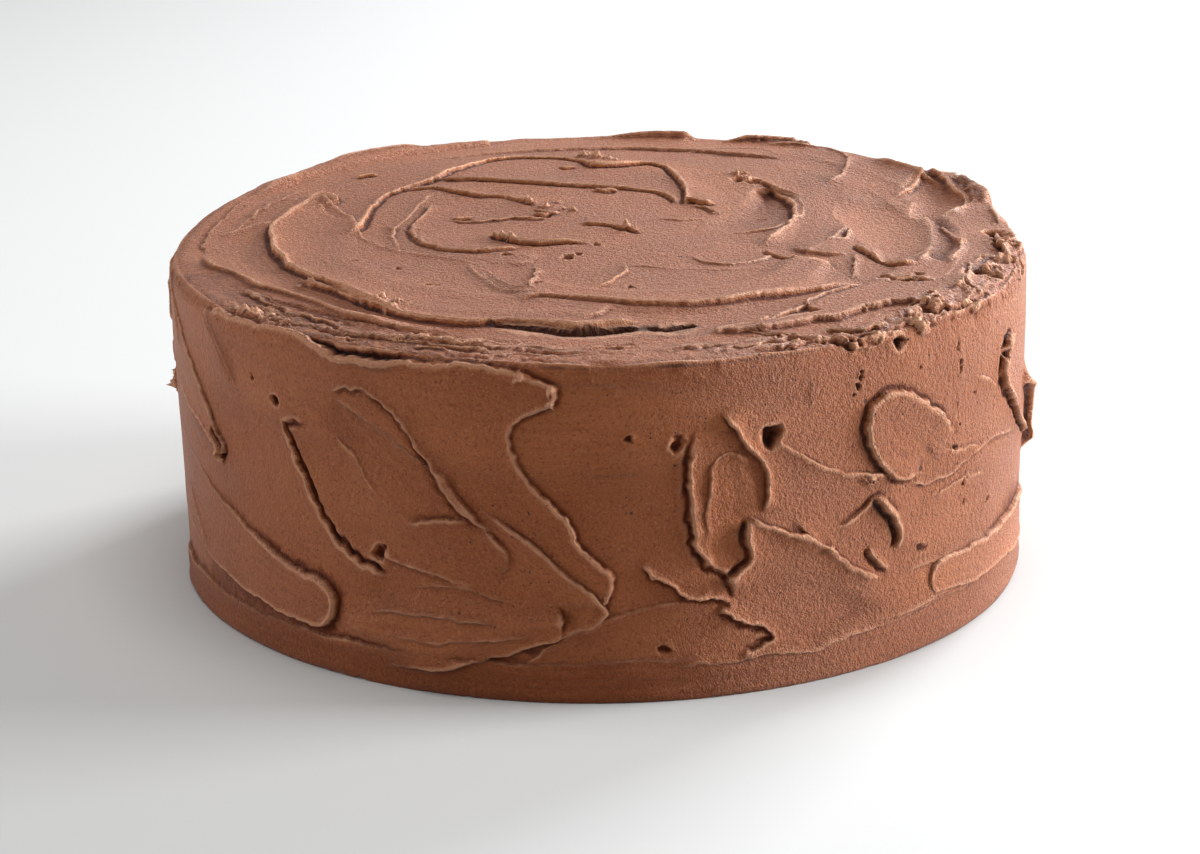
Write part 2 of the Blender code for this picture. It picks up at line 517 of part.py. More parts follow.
# The top: x to the right, y away from the front
TOP_PASSES = (
    # the ring next to the rim, lower at the front
    Stroke(
        swirl((0, 0), (95, 95), (-20, -215), 13), (16, 20, 20), (0.2, 0.5), ridge=(0.04, 0.05, 0),
        streaks=0.1,
    ),
    Stroke(swirl((0, 0), (97, 97), (-114, -160)), (6, 12, 8), (1.7, 1.7), ridge=(0, 0, 0), fade=(12, 4, 4)),
    Stroke(
        swirl((0, 0), (94, 93), (150, 20)), (18, 18, 16), (0.6, 0.6), ridge=(0.04, 0.1, 0.1), streaks=0.12,
    ),
    Stroke(
        swirl((0, 0), (97, 96), (-66, 46)), (10, 18, 14), (-0.3, -0.6), ridge=(0, 0.1, 0.1),
        fade=(24, 0, 5), streaks=0.3, ragged=1.2,
    ),
    Edge(swirl((0, 0), (93, 98), (-62, -12)), reach=6, rise=0.4, ridge=0.42, hollow=0.4, ragged=1.5),
    # the ledge at the front left: it drops away from the top, and its torn face drops again to the side's lip
    Edge(
        ((-97, -10), (-93, -22), (-86, -31.5), (-80, -42.5), (-72.5, -49), (-65.6, -57.6), (-59, -66),
         (-50, -74), (-40, -80)), reach=12, rise=1.1, ridge=0.3, hollow=0.2, ends=(12, 14), slope=0.6,
        roll=3,
    ),
    Edge(
        ((-76, -66), (-66, -75), (-57, -79), (-48, -83), (-39, -87), (-30, -90.5), (-18, -94), (-8, -96),
         (4, -96.5)), reach=8, rise=0.7, ridge=0.35, hollow=0.5, ragged=1.6, ends=(6, 14), roll=2,
    ),
    Edge(
        ((-96, 5), (-89, 10.6), (-85, 14.2), (-81, 15)), reach=-5, rise=0.4, ridge=0.6, ends=(5, 2),
        roll=1.5,
    ),
    Edge(
        swirl((0, 0), (97, 98), (-84, -128)), reach=-5, rise=0.35, ridge=0.2, hollow=0.15, ends=(6, 10),
        ragged=1.0,
    ),
    Edge(swirl((0, 0), (91, 88), (-92, -122), 7), reach=6, rise=0.35, ridge=0.35, ends=(8, 10), ragged=1.2),
    Edge(((-65, 52), (-62, 54), (-58, 54)), reach=5, rise=0.4, ridge=0.5, hollow=0.7, ends=(2, 2)),
    # broad channels that the swirls lie in
    Stroke(
        swirl((-9, -6), (62, 60), (-165, 0)), (14, 22, 22), (0.5, 1.0), dish=0.7, ridge=(0.1, 0.1, 0),
        fade=(20, 6, 6),
    ),
    Stroke(
        swirl((-12, 2), (34, 30), (-175, -20)), (12, 16, 14), (0.4, 0.8), dish=0.6, ridge=(0.1, 0.1, 0),
        fade=(16, 5, 5),
    ),
    Stroke(
        swirl((12, -25), (37, 37), (-70, 75)), (14, 19, 16), (0.7, 1.0), dish=0.6, ridge=(0.1, 0.1, 0),
        fade=(16, 5, 5),
    ),
    Stroke(
        ((8, 66), (26, 48), (35, 24), (36, 4)), (14, 20, 20, 18), (0.4, 0.4), dish=0.6, ridge=(0.1, 0.1, 0),
        fade=(14, 5, 5),
    ),
    Stroke(
        ((52, 74), (59, 44), (60, 14), (54, -14)), (14, 18, 20, 16), (0.6, 1.0), dish=0.6,
        ridge=(0.1, 0.1, 0), fade=(14, 6, 6),
    ),
    Stroke(
        swirl((0, 0), (83, 82), (150, 40)), (12, 15, 14), (0.5, 0.9), dish=0.5, ridge=(0.1, 0.1, 0),
        fade=(16, 4, 4),
    ),
    # the large crescent on the left, whose front stands high over the ledge and over a deep slot
    Edge(
        ((-66, 30), (-69.5, 35.4), (-73.1, 35.8), (-76.2, 27.6), (-79.3, 19.5), (-81.6, 10), (-80.6, -2.6),
         (-77.5, -15.3), (-73.2, -27.6), (-68.1, -37.2), (-63, -45), (-58, -53), (-50, -63.7),
         (-44.5, -69)), reach=30, rise=1.3, ridge=0.7, hollow=0.6, ends=(2, 12), roll=2,
    ),
    Edge(
        ((-72, -36), (-62, -50), (-50, -64), (-40, -72.5), (-30, -77), (-20, -76), (-12, -78), (-4, -81),
         (2, -79), (10, -77)), reach=26, rise=1.6, ridge=0.36, hollow=0.3, ends=(16, 6), lean=0.8,
        slope=0.3,
    ),
    *SLOTS,
    Edge(
        ((-18, -62), (-15, -59.4), (-9, -60), (-1, -63), (10, -66), (22, -66), (36, -60), (50, -52),
         (62, -43)), reach=24, rise=1.1, ridge=0.3, hollow=0.3, ends=(3, 14),
    ),
    Edge(
        ((61, -46), (50, -58), (45, -66), (38.6, -74), (33, -80.5)), reach=-12, rise=0.6, ridge=0.5,
        ends=(6, 4), hollow=0.3, ragged=0.9,
    ),
    Edge(
        ((33, -80.5), (38, -84.5), (44, -88), (50, -89.5)), reach=7, rise=0.4, ridge=0.5, hollow=0.4,
        ends=(2, 4),
    ),
    Edge(((31, -82), (42, -87), (52, -90), (61, -86)), reach=9, rise=0.4, ridge=0.4, ends=(4, 6)),
    # the arcs inside the crescent
    Edge(
        ((-61, 0), (-59, 8), (-58, 22), (-54, 35), (-43, 48), (-36, 59), (-28, 69), (-16, 71), (-6, 66),
         (-1, 57)), reach=14, rise=1.0, ridge=0.55, hollow=0.7, ends=(6, 3),
    ),
    Edge(
        ((-3, 58), (6, 58), (13, 61), (18, 57), (20, 46), (22, 34), (22, 20)), reach=14, rise=1.2,
        ridge=0.6, hollow=0.9, ends=(3, 4),
    ),
    Edge(
        ((-42, 49), (-30, 45), (-19, 42), (-8, 39), (2, 36), (10, 33), (17, 29), (20, 21)), reach=9,
        rise=0.8, ridge=0.45, hollow=0.7, ends=(4, 3),
    ),
    Edge(
        ((-51, 39), (-43, 39), (-36, 34), (-30, 31), (-23, 28), (-15, 20)), reach=8, rise=0.7, ridge=0.4,
        hollow=0.6, ends=(4, 3),
    ),
    Edge(((-42, 35), (-44, 28), (-47, 17), (-49, 8), (-50, -2), (-48, -16)), reach=-8, rise=0.4, ridge=0.4),
    Edge(
        ((-42, 25), (-44, 16), (-46, 6), (-46, -1), (-44, -9), (-40, -16), (-34, -20), (-26, -20.5),
         (-18, -18)), reach=11, rise=0.6, ridge=0.3, hollow=0.5, ends=(4, 5),
    ),
    Edge(
        ((-72, 35.5), (-67, 25.7), (-61.8, 15), (-59.9, 6.5), (-55.8, -6.2), (-49.8, -14.7), (-42, -21.7),
         (-34, -27), (-26, -32)), reach=-12, rise=0.5, ridge=0.36, ends=(4, 10),
    ),
    Edge(((-31, -28), (-28, -39), (-24, -48), (-19, -54), (-11, -57)), reach=-6, rise=0.2, ridge=0.44),
    Edge(((-26, -33), (-24, -42), (-19, -50), (-12, -54)), reach=-5, rise=0.15, ridge=0.3),
    Edge(((-16, -31), (-14, -38), (-16, -47), (-15, -55)), reach=5, rise=0.3, ridge=0.7, ragged=1.0),
    Edge(((4, -32), (6, -38), (3, -46), (-2, -53)), reach=-6, rise=0.3, ridge=0.5),
    Edge(((5, -33), (15, -35.5), (28, -36), (40, -34)), reach=8, rise=0.15, ridge=0.2),
    # the curls in the middle
    Edge(
        ((-26, -5), (-23.5, -10), (-19, -14), (-13.5, -16), (-7, -15), (-1, -16)), reach=9, rise=0.8,
        ridge=0.75, hollow=1.2, lean=0.8, ragged=0.6, ends=(1, 8), crown=0.6,
    ),
    Edge(
        ((-5, 1), (1, 0), (6, -4), (12, -8)), reach=6, rise=0.5, ridge=0.55, hollow=0.8, ragged=0.8,
        ends=(2, 5),
    ),
    Edge(((-17, 18), (-12, 12), (-6, 15)), reach=5, rise=0.2, ridge=0.6, hollow=0.3, ragged=1.6),
    Edge(
        ((-38, 12.5), (-34, 11.5), (-31, 12)), reach=4, rise=0.3, ridge=0.5, hollow=0.9, ragged=1.0,
        ends=(2, 2),
    ),
    Edge(
        ((-17.5, 12), (-14, 11.4), (-11.5, 12.4)), reach=4, rise=0.3, ridge=0.5, hollow=0.9, ragged=1.0,
        ends=(2, 2),
    ),
    Edge(
        ((-10, 57), (-7, 56.6), (-4.5, 58)), reach=4, rise=0.3, ridge=0.5, hollow=0.9, ragged=1.0,
        ends=(2, 2),
    ),
    Edge(
        ((-1.5, 34.5), (1.5, 32.4), (5.5, 32)), reach=4, rise=0.4, ridge=0.7, hollow=0.7, ragged=1.0,
        ends=(2, 2),
    ),
    Edge(
        ((22, 23), (26, 21.5), (30, 22)), reach=5, rise=0.6, ridge=0.9, hollow=0.8, ragged=0.9, ends=(2, 3),
    ),
    Edge(((-40, 12), (-32, 8), (-22, 9), (-11, 7)), reach=5, rise=0.2, ridge=0.44, hollow=0.3, ragged=1.6),
    Edge(((11, 9), (18, 6), (28, 8)), reach=5, rise=0.2, ridge=0.3, ragged=1.4),
    Edge(((22, 20), (27, 17), (30, 10)), reach=6, rise=0.3, ridge=0.6, hollow=0.3, ragged=1.4),
    # the scoops on the right: each is hollow, with a steep far wall
    Stroke(
        ((26, -4), (34, 4), (42, 16), (44, 29)), (10, 18, 20, 14), (0.7, -0.6), dish=1.4,
        ridge=(0, 0.5, 0.5), fade=(12, 6, 0),
    ),
    Edge(
        ((36, 43.5), (43, 41), (46.7, 33.9), (49, 24.3), (49.2, 16), (48, 9.9), (45.5, -0.6), (41.6, -10.8),
         (38, -17)), reach=12, rise=2.3, ridge=0.5, hollow=0.5, ends=(3, 8), slope=0.2,
    ),
    Edge(
        ((22, -26), (25, -30), (31, -32), (38, -29), (42, -24)), reach=8, rise=0.3, ridge=0.36, ends=(2, 2),
    ),
    Edge(((39, -20), (42, -24), (47, -28)), reach=6, rise=0.5, ridge=0.3, hollow=0.4, ends=(2, 2)),
    Edge(((72, 22), (64, 9), (59, -2), (54, -14), (48, -25)), reach=8, rise=0.3, ridge=0.4, ends=(8, 6)),
    Edge(
        ((54, -11.6), (59.8, -8.5), (62.4, 1.6), (65.2, 4), (66.4, -3.6), (65.2, -9.6)), reach=-4, rise=0.4,
        ridge=0.8, hollow=0.8, ragged=0.8, ends=(2, 2),
    ),
    Stroke(
        ((58, 29), (67, 20), (73, 6), (73, -12), (70, -24)), (8, 22, 24, 20, 8), (0.6, -0.3), dish=1.4,
        ridge=(0.2, 0, 0), fade=(14, 5, 0),
    ),
    Edge(
        ((76.6, 30.2), (81.7, 24.2), (84, 11.4), (83.7, 0), (81.5, -12.5), (78.3, -22.3), (74.5, -29.5)),
        reach=7, rise=1.7, ridge=0.5, slope=0.4, ends=(8, 4), roll=1.6,
    ),
    Edge(
        ((61, -13), (63.2, -18), (66.6, -26.1), (70.9, -29.9), (76, -29)), reach=9, rise=1.1, ridge=0.3,
        hollow=0.8, ends=(3, 4),
    ),
    Stroke(
        ((84, 20), (86, 6), (84.5, -10), (81, -24)), (3, 7, 8, 5), (0.4, 0.0), dish=0.8, ridge=(0, 0, 0),
        fade=(6, 3, 0),
    ),
    Edge(
        ((84, 9), (86.4, 0), (87.4, -11.7), (85.2, -21.4), (82, -28.5)), reach=6, rise=1.4, ridge=0.4,
        slope=0.4, ends=(5, 3), roll=1.5,
    ),
    Stroke(
        ((86, 52), (87, 40), (87, 28), (83, 18)), (5, 15, 16, 8), (0.3, -0.1), dish=1.3, ridge=(0, 0, 0),
        fade=(5, 0, 0),
    ),
    Edge(
        ((86.1, 54.9), (89.5, 46.8), (92.2, 37), (93.4, 28.5), (91, 20.8), (86, 16)), reach=7, rise=1.7,
        ridge=0.4, slope=0.4, ends=(4, 5), roll=2,
    ),
    Edge(
        ((86, 53.7), (83.4, 45), (79.6, 35), (74, 29)), reach=-10, rise=0.7, ridge=0.6, slope=0.4,
        ends=(3, 8),
    ),
    Edge(
        ((85.7, 60), (93.5, 50), (97.8, 35.7), (99.5, 19), (99.5, 8)), reach=5, rise=1.0, ridge=0.4,
        slope=0.5, ends=(5, 5), roll=2,
    ),
    Edge(
        ((44, 86), (56, 83), (63.9, 77.8), (67, 69), (66, 60.6), (63.2, 49.6), (58, 41)), reach=12,
        rise=1.3, ridge=0.4, slope=0.4, ends=(8, 8), roll=3,
    ),
    Edge(((20, 78), (34, 82), (45, 80), (50, 70)), reach=6, rise=0.18, ridge=0.21),
    Edge(((61, -19), (60, -32), (59, -43)), reach=6, rise=0.3, ridge=0.5, ragged=1.0),
    Edge(((66, -44), (72, -42), (80, -45)), reach=6, rise=0.3, ridge=0.5, hollow=0.8, ragged=1.8),
    # torn curls along the right of the rim
    Edge(((98, 2), (97, -12), (98, -28)), reach=8, rise=0.8, ridge=1.1, hollow=1.0, ragged=1.8),
    Edge(((92, -30), (86, -44), (88, -52)), reach=9, rise=0.8, ridge=1.1, hollow=1.0, ragged=1.8),
    Edge(((78, -52), (70, -66), (72, -78)), reach=8, rise=0.6, ridge=0.9, hollow=0.6, ragged=1.8),
    Edge(((48, -80), (56, -82), (64, -75)), reach=7, rise=0.6, ridge=1.0, hollow=0.8, ragged=1.8),
    # the lumps that stand up on the far rim
    Edge(
        swirl((0, 0), (98, 98), (-130, -152)), reach=9, rise=1.5, ridge=0.2, ends=(12, 8), slope=0.5,
        roll=5,
    ),
    Edge(
        ((88, 53), (93, 44), (96.5, 35), (98.5, 25)), reach=9, rise=4.2, ridge=0.3, ends=(9, 6), slope=0.4,
        roll=5,
    ),
    Edge(
        ((-8, 97.5), (4, 97), (16, 96), (28, 95)), reach=10, rise=3.0, ridge=0.3, ends=(26, 4), slope=0.5,
        roll=5,
    ),
    Edge(
        ((72, 68), (79, 60), (85, 51), (90, 42)), reach=-9, rise=1.6, ridge=0.4, ends=(8, 8), slope=0.5,
        roll=4,
    ),
    Edge(
        ((34, 91), (44, 90), (52, 87), (60, 83)), reach=10, rise=2.4, ridge=0.5, ragged=1.6, ends=(8, 8),
        slope=0.4, roll=4,
    ),
)

# Torn cavities: the place as degrees round and mm up on the side or x and y on the top, then radius and
# depth in mm
SIDE_HOLES = (
    (20.2, 59, 2.0, 2.6),
    (8.8, 59.5, 1.4, 1.2),
    (3.2, 61, 1.0, 0.8),
    (-44, 61.5, 1.3, 1.4),
    (-48, 66, 0.8, 0.8),
    (-28.5, 31, 1.6, 1.4),
    (7, 11.5, 1.1, 0.9),
    (43.5, 26, 1.2, 1.0),
    (32.7, 70.2, 0.7, 0.8),
    (32.6, 68.5, 0.6, 0.7),
    (32.5, 66.7, 0.8, 0.9),
    (31.8, 64.7, 0.5, 0.6),
    (50.7, 69.7, 0.7, 0.7),
    (51.1, 64.9, 0.8, 0.7),
    (42.6, 67.9, 0.5, 0.5),
    (54.6, 56.9, 0.5, 0.6),
    (51.1, 56.1, 0.5, 0.5),
    (51.1, 50.0, 0.5, 0.6),
    (49.4, 45.7, 0.8, 0.7),
    (52.4, 37.0, 0.7, 0.8),
    (58.3, 28.2, 0.8, 1.0),
    (52.9, 31.3, 0.6, 0.7),
    (63.5, 62.0, 1.3, 2.0),
    (31.0, 76.5, 1.2, 1.2),
    (33.0, 77.2, 0.9, 1.0),
)
TOP_HOLES = (
    (37.0, 45.0, 2.2, 1.6),
    (41.0, 42.0, 1.8, 1.4),
    (-39.5, -46.3, 1.1, 1.2),
    (-37.8, -46.8, 0.8, 0.9),
    (-14.1, -47.7, 0.9, 1.2),
    (-7.4, -27.9, 1.3, 1.2),
    (-5.0, -25.5, 1.0, 1.0),
    (-22.4, -23.9, 1.0, 1.0),
    (-6.5, -16.4, 0.9, 1.0),
    (0.0, -17.7, 0.8, 0.8),
    (7.9, -50.3, 0.9, 0.8),
    (-58.1, -23.8, 0.7, 0.6),
    (-46.8, -33.0, 0.7, 0.6),
    (40.3, 12.7, 0.8, 0.8),
    (65.7, -41.5, 1.5, 1.2),
    (67.8, -43.2, 1.2, 1.0),
    (70.2, -43.5, 1.4, 1.2),
    (72.3, -42.5, 1.3, 1.0),
    (74.2, -38.6, 1.2, 0.8),
    (88.5, -36.5, 2.7, 3.8),
    (91.5, -38.5, 1.8, 2.6),
    (98.5, 0.5, 2.7, 3.4),
    (99.5, -3.5, 1.8, 2.4),
    (74.8, -66.0, 2.0, 3.0),
    (77.5, -64.0, 1.3, 1.8),
    (66.2, -82.5, 1.6, 2.2),
    (48.5, -90.0, 1.2, 1.5),
    (51.0, -88.6, 1.5, 1.8),
    (54.0, -86.6, 1.1, 1.2),
)

# Crumbs and torn curls that stand up: place, radius and height in mm
SIDE_CRUMBS = (
    (-82.5, 48.5, 2.4, 3.6),
    (-57.0, 43.0, 1.6, 1.4),
    (28.0, 31.0, 1.4, 1.0),
    (34.5, 45.0, 1.5, 0.9),
    (-6.2, 71.4, 1.3, 1.2),
    (-5.9, 69.0, 1.1, 1.1),
    (-9.5, 74.6, 1.2, 0.9),
    (-3.6, 39.5, 1.0, 0.8),
    (-86.0, 71.0, 2.2, 1.5),
    (-88.0, 66.0, 1.8, 1.2),
)
TOP_CRUMBS = (
    (-2.7, 70.0, 2.6, 1.8),
    (0.5, 66.9, 2.2, 1.6),
    (3.5, 64.0, 1.6, 1.2),
    (-16.4, 22.6, 1.3, 1.2),
    (-12.8, 19.6, 1.5, 1.2),
    (-9.8, 22.9, 1.2, 1.0),
    (-6.7, 16.4, 1.4, 1.2),
    (6.6, -3.5, 1.8, 1.6),
    (-22.0, -11.0, 1.6, 1.6),
    (37.0, 50.0, 2.2, 1.8),
    (-66.4, -44.1, 2.0, 1.2),
    (-47.7, -61.5, 2.0, 1.6),
    (-45.5, -66.5, 2.6, 0.9),
    (-43.0, -63.0, 1.4, 1.8),
    (-79.9, -61.4, 2.0, 1.3),
    (-77.0, -62.5, 2.2, 1.5),
    (-74.2, -66.7, 2.0, 1.3),
    (-70.3, -73.0, 1.8, 1.1),
    (88.3, -10.1, 1.6, 1.2),
    (96.0, -24.7, 2.6, 1.6),
    (100.0, -13.0, 2.6, 1.6),
    (84.4, -49.9, 2.4, 1.6),
    (76.2, -60.5, 2.4, 1.4),
    (71.2, -75.0, 2.6, 1.4),
    (60.0, -83.0, 2.4, 1.2),
    (84.8, -58.5, 2.6, 1.4),
    (93.0, -32.0, 2.0, 1.2),
)

# The back is spread by the same knife: passes laid from the rim down, each a little out of line
BACK_PASSES = 30
BACK_RANGE = (92, 268)

# The torn strings and curls along the rim
RIM_CURLS = 82
LEDGE_STRINGS = 44


def back_passes():
    """Passes for the part of the side that faces away from the front: smears, and edges of broad facets."""
    dice = np.random.default_rng(11)
    for turn in range(BACK_PASSES):
        start, height = dice.uniform(*BACK_RANGE), dice.uniform(8, 70)
        run, climb = dice.uniform(12, 34) * dice.choice((-1, 1)), dice.uniform(-30, 18)
        end = min(max(start + run, BACK_RANGE[0]), BACK_RANGE[1])
        bow = dice.uniform(-7, 7)
        path = tuple(
            (start + share * (end - start), height + share * climb + bow * math.sin(math.pi * share))
            for share in (0, 0.35, 0.7, 1)
        )
        if turn % 3:
            yield Edge(
                path, reach=dice.choice((-1, 1)) * dice.uniform(9, 28), rise=dice.uniform(0.5, 1.4),
                ridge=dice.uniform(0.2, 0.6), hollow=dice.uniform(0, 0.7), ends=(5, 12),
                ragged=dice.uniform(0.7, 1.3), crown=dice.uniform(0.2, 0.6),
            )
        else:
            broad = dice.uniform(14, 28)
            yield Stroke(
                path, (0.6 * broad, broad, 0.8 * broad, 0.4 * broad),
                (dice.uniform(-0.2, 0.3), dice.uniform(0.6, 1.6)),
                dish=dice.uniform(0, 0.5), ridge=(0, dice.uniform(0.3, 0.6), dice.uniform(0.5, 1.0)),
                fade=(16, 0.3 * broad, 0), ragged=1.1,
            )


def frosted(cells):
    """The frosting over a grid of points, with the grid's faces and its lowest ring."""
    angle, reach, faces, foot = cake_grid(cells)
    frosting = Frosting(angle, reach)
    sway(frosting)
    for stroke in back_passes():
        frosting.lay(stroke, side=True)
    for what in SIDE_PASSES:
        frosting.lay(what, side=True)
    for what in (*TOP_PASSES, *torn_passes()):
        frosting.lay(what, side=False)
    crumble_rim(frosting)
    for side, holes, crumbs in ((True, SIDE_HOLES, SIDE_CRUMBS), (False, TOP_HOLES, TOP_CRUMBS)):
        for across, up, radius, depth in holes:
            hole(frosting, (across, up), radius, depth, side)
        for across, up, radius, height in crumbs:
            crumb(frosting, (across, up), radius, height, side)
    return frosting, faces, foot


def sway(frosting):
    """The cake is not quite round: long swells, and frosting that has slumped at the lower right."""
    frosting.bulk += 0.8 * noise(frosting.base, 48.0, 21) + 0.3 * noise(frosting.base, 17.0, 22)
    degrees, up = np.degrees(frosting.angle), frosting.base[:, 2]
    frosting.bulk += 2.2 * np.exp(-(((degrees - 45) / 11) ** 2) - ((up - 4) / 17) ** 2)


def ridged(points, size, seed):
    """Sharp ridges from 0 to 1 about the given size apart, in millimetres."""
    return np.maximum(1 - 2.8 * np.abs(noise(points, size, seed)), 0) ** 1.5


def torn_passes():
    """Short curls and strings along the rim: long and fine on the ledge at the front, rough on the right."""
    dice = np.random.default_rng(5)
    for curl in range(RIM_CURLS):
        place = dice.uniform(0, 1)
        if curl < LEDGE_STRINGS:
            degrees = -56 + 84 * place
            length, reach = dice.uniform(9, 26), dice.uniform(91, 101)
            rise, ridge = 0.12, dice.uniform(0.15, 0.5)
            turn = dice.uniform(-4, 4)
        else:
            degrees = 22 + 66 * place
            length, reach = dice.uniform(4, 12), dice.uniform(94, 106)
            rise, ridge = 0.2, dice.uniform(0.15, 0.6)
            turn = dice.uniform(-30, 30)
        middle = math.radians(degrees)
        along = np.array([math.cos(middle), math.sin(middle)])
        outward = np.array([math.sin(middle), -math.cos(middle)])
        steps = np.array([-0.5, 0, 0.5]) * length
        bend = dice.uniform(-0.12, 0.12) * length
        path = [
            outward * (reach + step * math.sin(math.radians(turn)) + bend * (step == 0)) + along * step
            for step in steps
        ]
        yield Edge(
            tuple(map(tuple, path)), reach=dice.choice((-1, 1)) * dice.uniform(3, 5), rise=rise, ridge=ridge,
            hollow=0.7 * ridge, ragged=1.5, ends=(0.3 * length, 0.3 * length), roll=1.5,
        )


def crumble_rim(frosting):
    """The thin lip that the side's frosting makes where it meets the top, and the torn rim."""
    degrees = np.degrees(frosting.angle)
    around = CAKE_RADIUS / 4
    ring = np.stack([np.sin(frosting.angle) * around, -np.cos(frosting.angle) * around, frosting.reach], 1)
    past_rim = frosting.reach - TOP_RADIUS - RIM_ARC / 2
    patches = noise(frosting.base, 11.0, 33)
    right = np.exp(-(((degrees - 58) / 32) ** 4))
    front = np.exp(-(((degrees + 4) / 50) ** 4))
    torn = eased(1.1 - np.abs(past_rim + 3) / 8 + 0.9 * patches)
    warped = frosting.base + 2.5 * np.stack([frosting.wander[:, 0], frosting.wander[:, 1], patches], 1)
    frosting.detail += torn * (0.1 + 0.28 * right + 0.15 * front) * ridged(warped, 4.5, 32)
    face = eased(1 - np.abs(past_rim + 2.5) / 3.5) * np.exp(-(((degrees + 30) / 30) ** 4))
    frosting.detail += 0.5 * face * noise(warped, 1.6, 39)
    frosting.detail -= 0.3 * torn * right * ridged(warped, 3.4, 38)
    frosting.bulk += np.exp(-((past_rim / 7) ** 2)) * right * (0.7 * noise(frosting.base, 12.0, 34) - 0.5)

    lip = 77.0 + 1.2 * noise(ring, 6.0, 35)
    gap = SIDE_HEIGHT + TOP_RADIUS + RIM_ARC - frosting.reach - lip
    crest = (0.1 + 0.8 * frosting.patchy) * np.exp(-((gap / 0.6) ** 2))
    frosting.detail += crest
    frosting.slip[:, 1] -= 0.7 * crest


def around(frosting, place, radius, side, ragged):
    """The points near a place, with how far each lies from it as a share of the radius."""
    middle = np.array(place, float)
    if side:
        middle[0] = math.radians(middle[0]) * CAKE_RADIUS
    index, here = frosting.nearby(middle[None], 3 * radius + 2, side, ragged)
    return index, np.hypot(*(here - middle).T) / radius


def hole(frosting, place, radius, depth, side):
    """A small torn cavity, left by a bubble or a crumb."""
    index, gap = around(frosting, place, radius, side, 1.3)
    frosting.detail[index] -= depth * np.exp(-(gap**4))
    frosting.detail[index] += 0.3 * frosting.crumbly[index] * np.exp(-(((gap - 1.5) / 0.4) ** 2))


def crumb(frosting, place, radius, height, side):
    """A crumb or a torn curl that stands up from the frosting."""
    index, gap = around(frosting, place, radius, side, 1.5)
    here = frosting.base[index]
    torn = ridged(here, 0.9 * radius, 51) + 0.6 * ridged(here, 0.45 * radius, 52)
    frosting.detail[index] += height * np.exp(-(gap**3)) * (0.1 + 0.9 * torn)


def mesh_of(name, points, faces, foot):
    """A closed mesh in metres, with one flat face underneath."""
    mesh = bpy.data.meshes.new(name)
    mesh.from_pydata(points * MM, [], [*faces.tolist(), foot[::-1].tolist()])
    mesh.validate()
    return mesh


def thinned(cake, triangles):
    """The same surface with fewer triangles: most are kept where the frosting bends most."""
    cake.data.calc_loop_triangles()
    fewer = cake.modifiers.new("Fewer", "DECIMATE")
    fewer.use_collapse_triangulate = True
    fewer.ratio = triangles / len(cake.data.loop_triangles)
    mesh = bpy.data.meshes.new_from_object(cake.evaluated_get(bpy.context.evaluated_depsgraph_get()))
    cake.modifiers.remove(fewer)
    points = np.empty(3 * len(mesh.vertices))
    mesh.vertices.foreach_get("co", points)
    points = points.reshape(-1, 3)
    points[points[:, 2] < FOOT_SNAP * MM, 2] = 0.0
    mesh.vertices.foreach_set("co", points.ravel())
    mesh.update()
    return mesh


def chocolate():
    material = bpy.data.materials.new("chocolate_buttercream")
    material.use_nodes = True
    shader = material.node_tree.nodes["Principled BSDF"]
    shader.inputs["Base Color"].default_value = (0.185, 0.068, 0.036, 1.0)
    shader.inputs["Roughness"].default_value = 0.5
    shader.inputs["Metallic"].default_value = 0.0
    material.diffuse_color = (0.185, 0.068, 0.036, 1.0)
    return material


def main():
    for old in list(bpy.data.objects):
        bpy.data.objects.remove(old)
    frosting, faces, foot = frosted(TOP_CELLS)
    points = frosting.points()
    points[foot, 2] = 0.0
    cake = bpy.data.objects.new("frosted_cake", mesh_of("fine", points, faces, foot))
    bpy.context.scene.collection.objects.link(cake)
    cake.data = thinned(cake, TRIANGLE_LIMIT)
    cake.data.materials.append(chocolate())


if __name__ == "__main__":
    main()
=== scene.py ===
"""A whole round chocolate cake, frosted all over with knife-spread buttercream.

The plain cake is a drum with a rounded rim and a slightly domed top. The frosting's relief is laid on
it stroke by stroke, as a palette knife does: each stroke levels the frosting under it and pushes up a
ridge along its edges and a lip at its end, and a later stroke covers an earlier one.

Lengths inside this script are millimetres, and the mesh is made in metres. The cake stands on z = 0,
with its axis on the Z axis. Angles round the side are degrees, 0 at the front (-Y), 90 at +X.
"""

import math
from dataclasses import dataclass

import bpy
import numpy as np
from mathutils import Matrix, Vector


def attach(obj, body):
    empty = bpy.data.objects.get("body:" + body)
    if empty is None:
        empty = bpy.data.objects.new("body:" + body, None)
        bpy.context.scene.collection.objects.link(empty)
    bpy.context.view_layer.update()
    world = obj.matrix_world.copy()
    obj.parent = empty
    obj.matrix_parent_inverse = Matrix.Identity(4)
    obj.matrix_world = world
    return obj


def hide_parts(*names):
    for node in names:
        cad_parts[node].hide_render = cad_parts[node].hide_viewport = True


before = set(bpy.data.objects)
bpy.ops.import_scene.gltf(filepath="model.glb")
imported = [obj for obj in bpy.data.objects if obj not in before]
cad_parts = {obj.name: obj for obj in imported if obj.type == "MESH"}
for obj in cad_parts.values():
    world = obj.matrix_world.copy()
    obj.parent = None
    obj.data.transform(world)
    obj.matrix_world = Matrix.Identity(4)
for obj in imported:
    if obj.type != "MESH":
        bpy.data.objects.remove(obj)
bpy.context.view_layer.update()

MM = 0.001

# Driving dimensions
CAKE_RADIUS = 104.3
RIM_HEIGHT = 78.0
RIM_ROUNDING = 3.5
DOME_RISE = 3.5
BACK_RISE = 4.4
BASE_TUCK = 0.5
BASE_TUCK_HEIGHT = 3.0

# The top is a square grid of cells drawn out to a disc, so that no point gathers many faces
TOP_CELLS = 480
TRIANGLE_LIMIT = 196000

# How far a step in the frosting takes to rise
WALL = 0.55

# The noise repeats after this many cells
NOISE_CELLS = 48

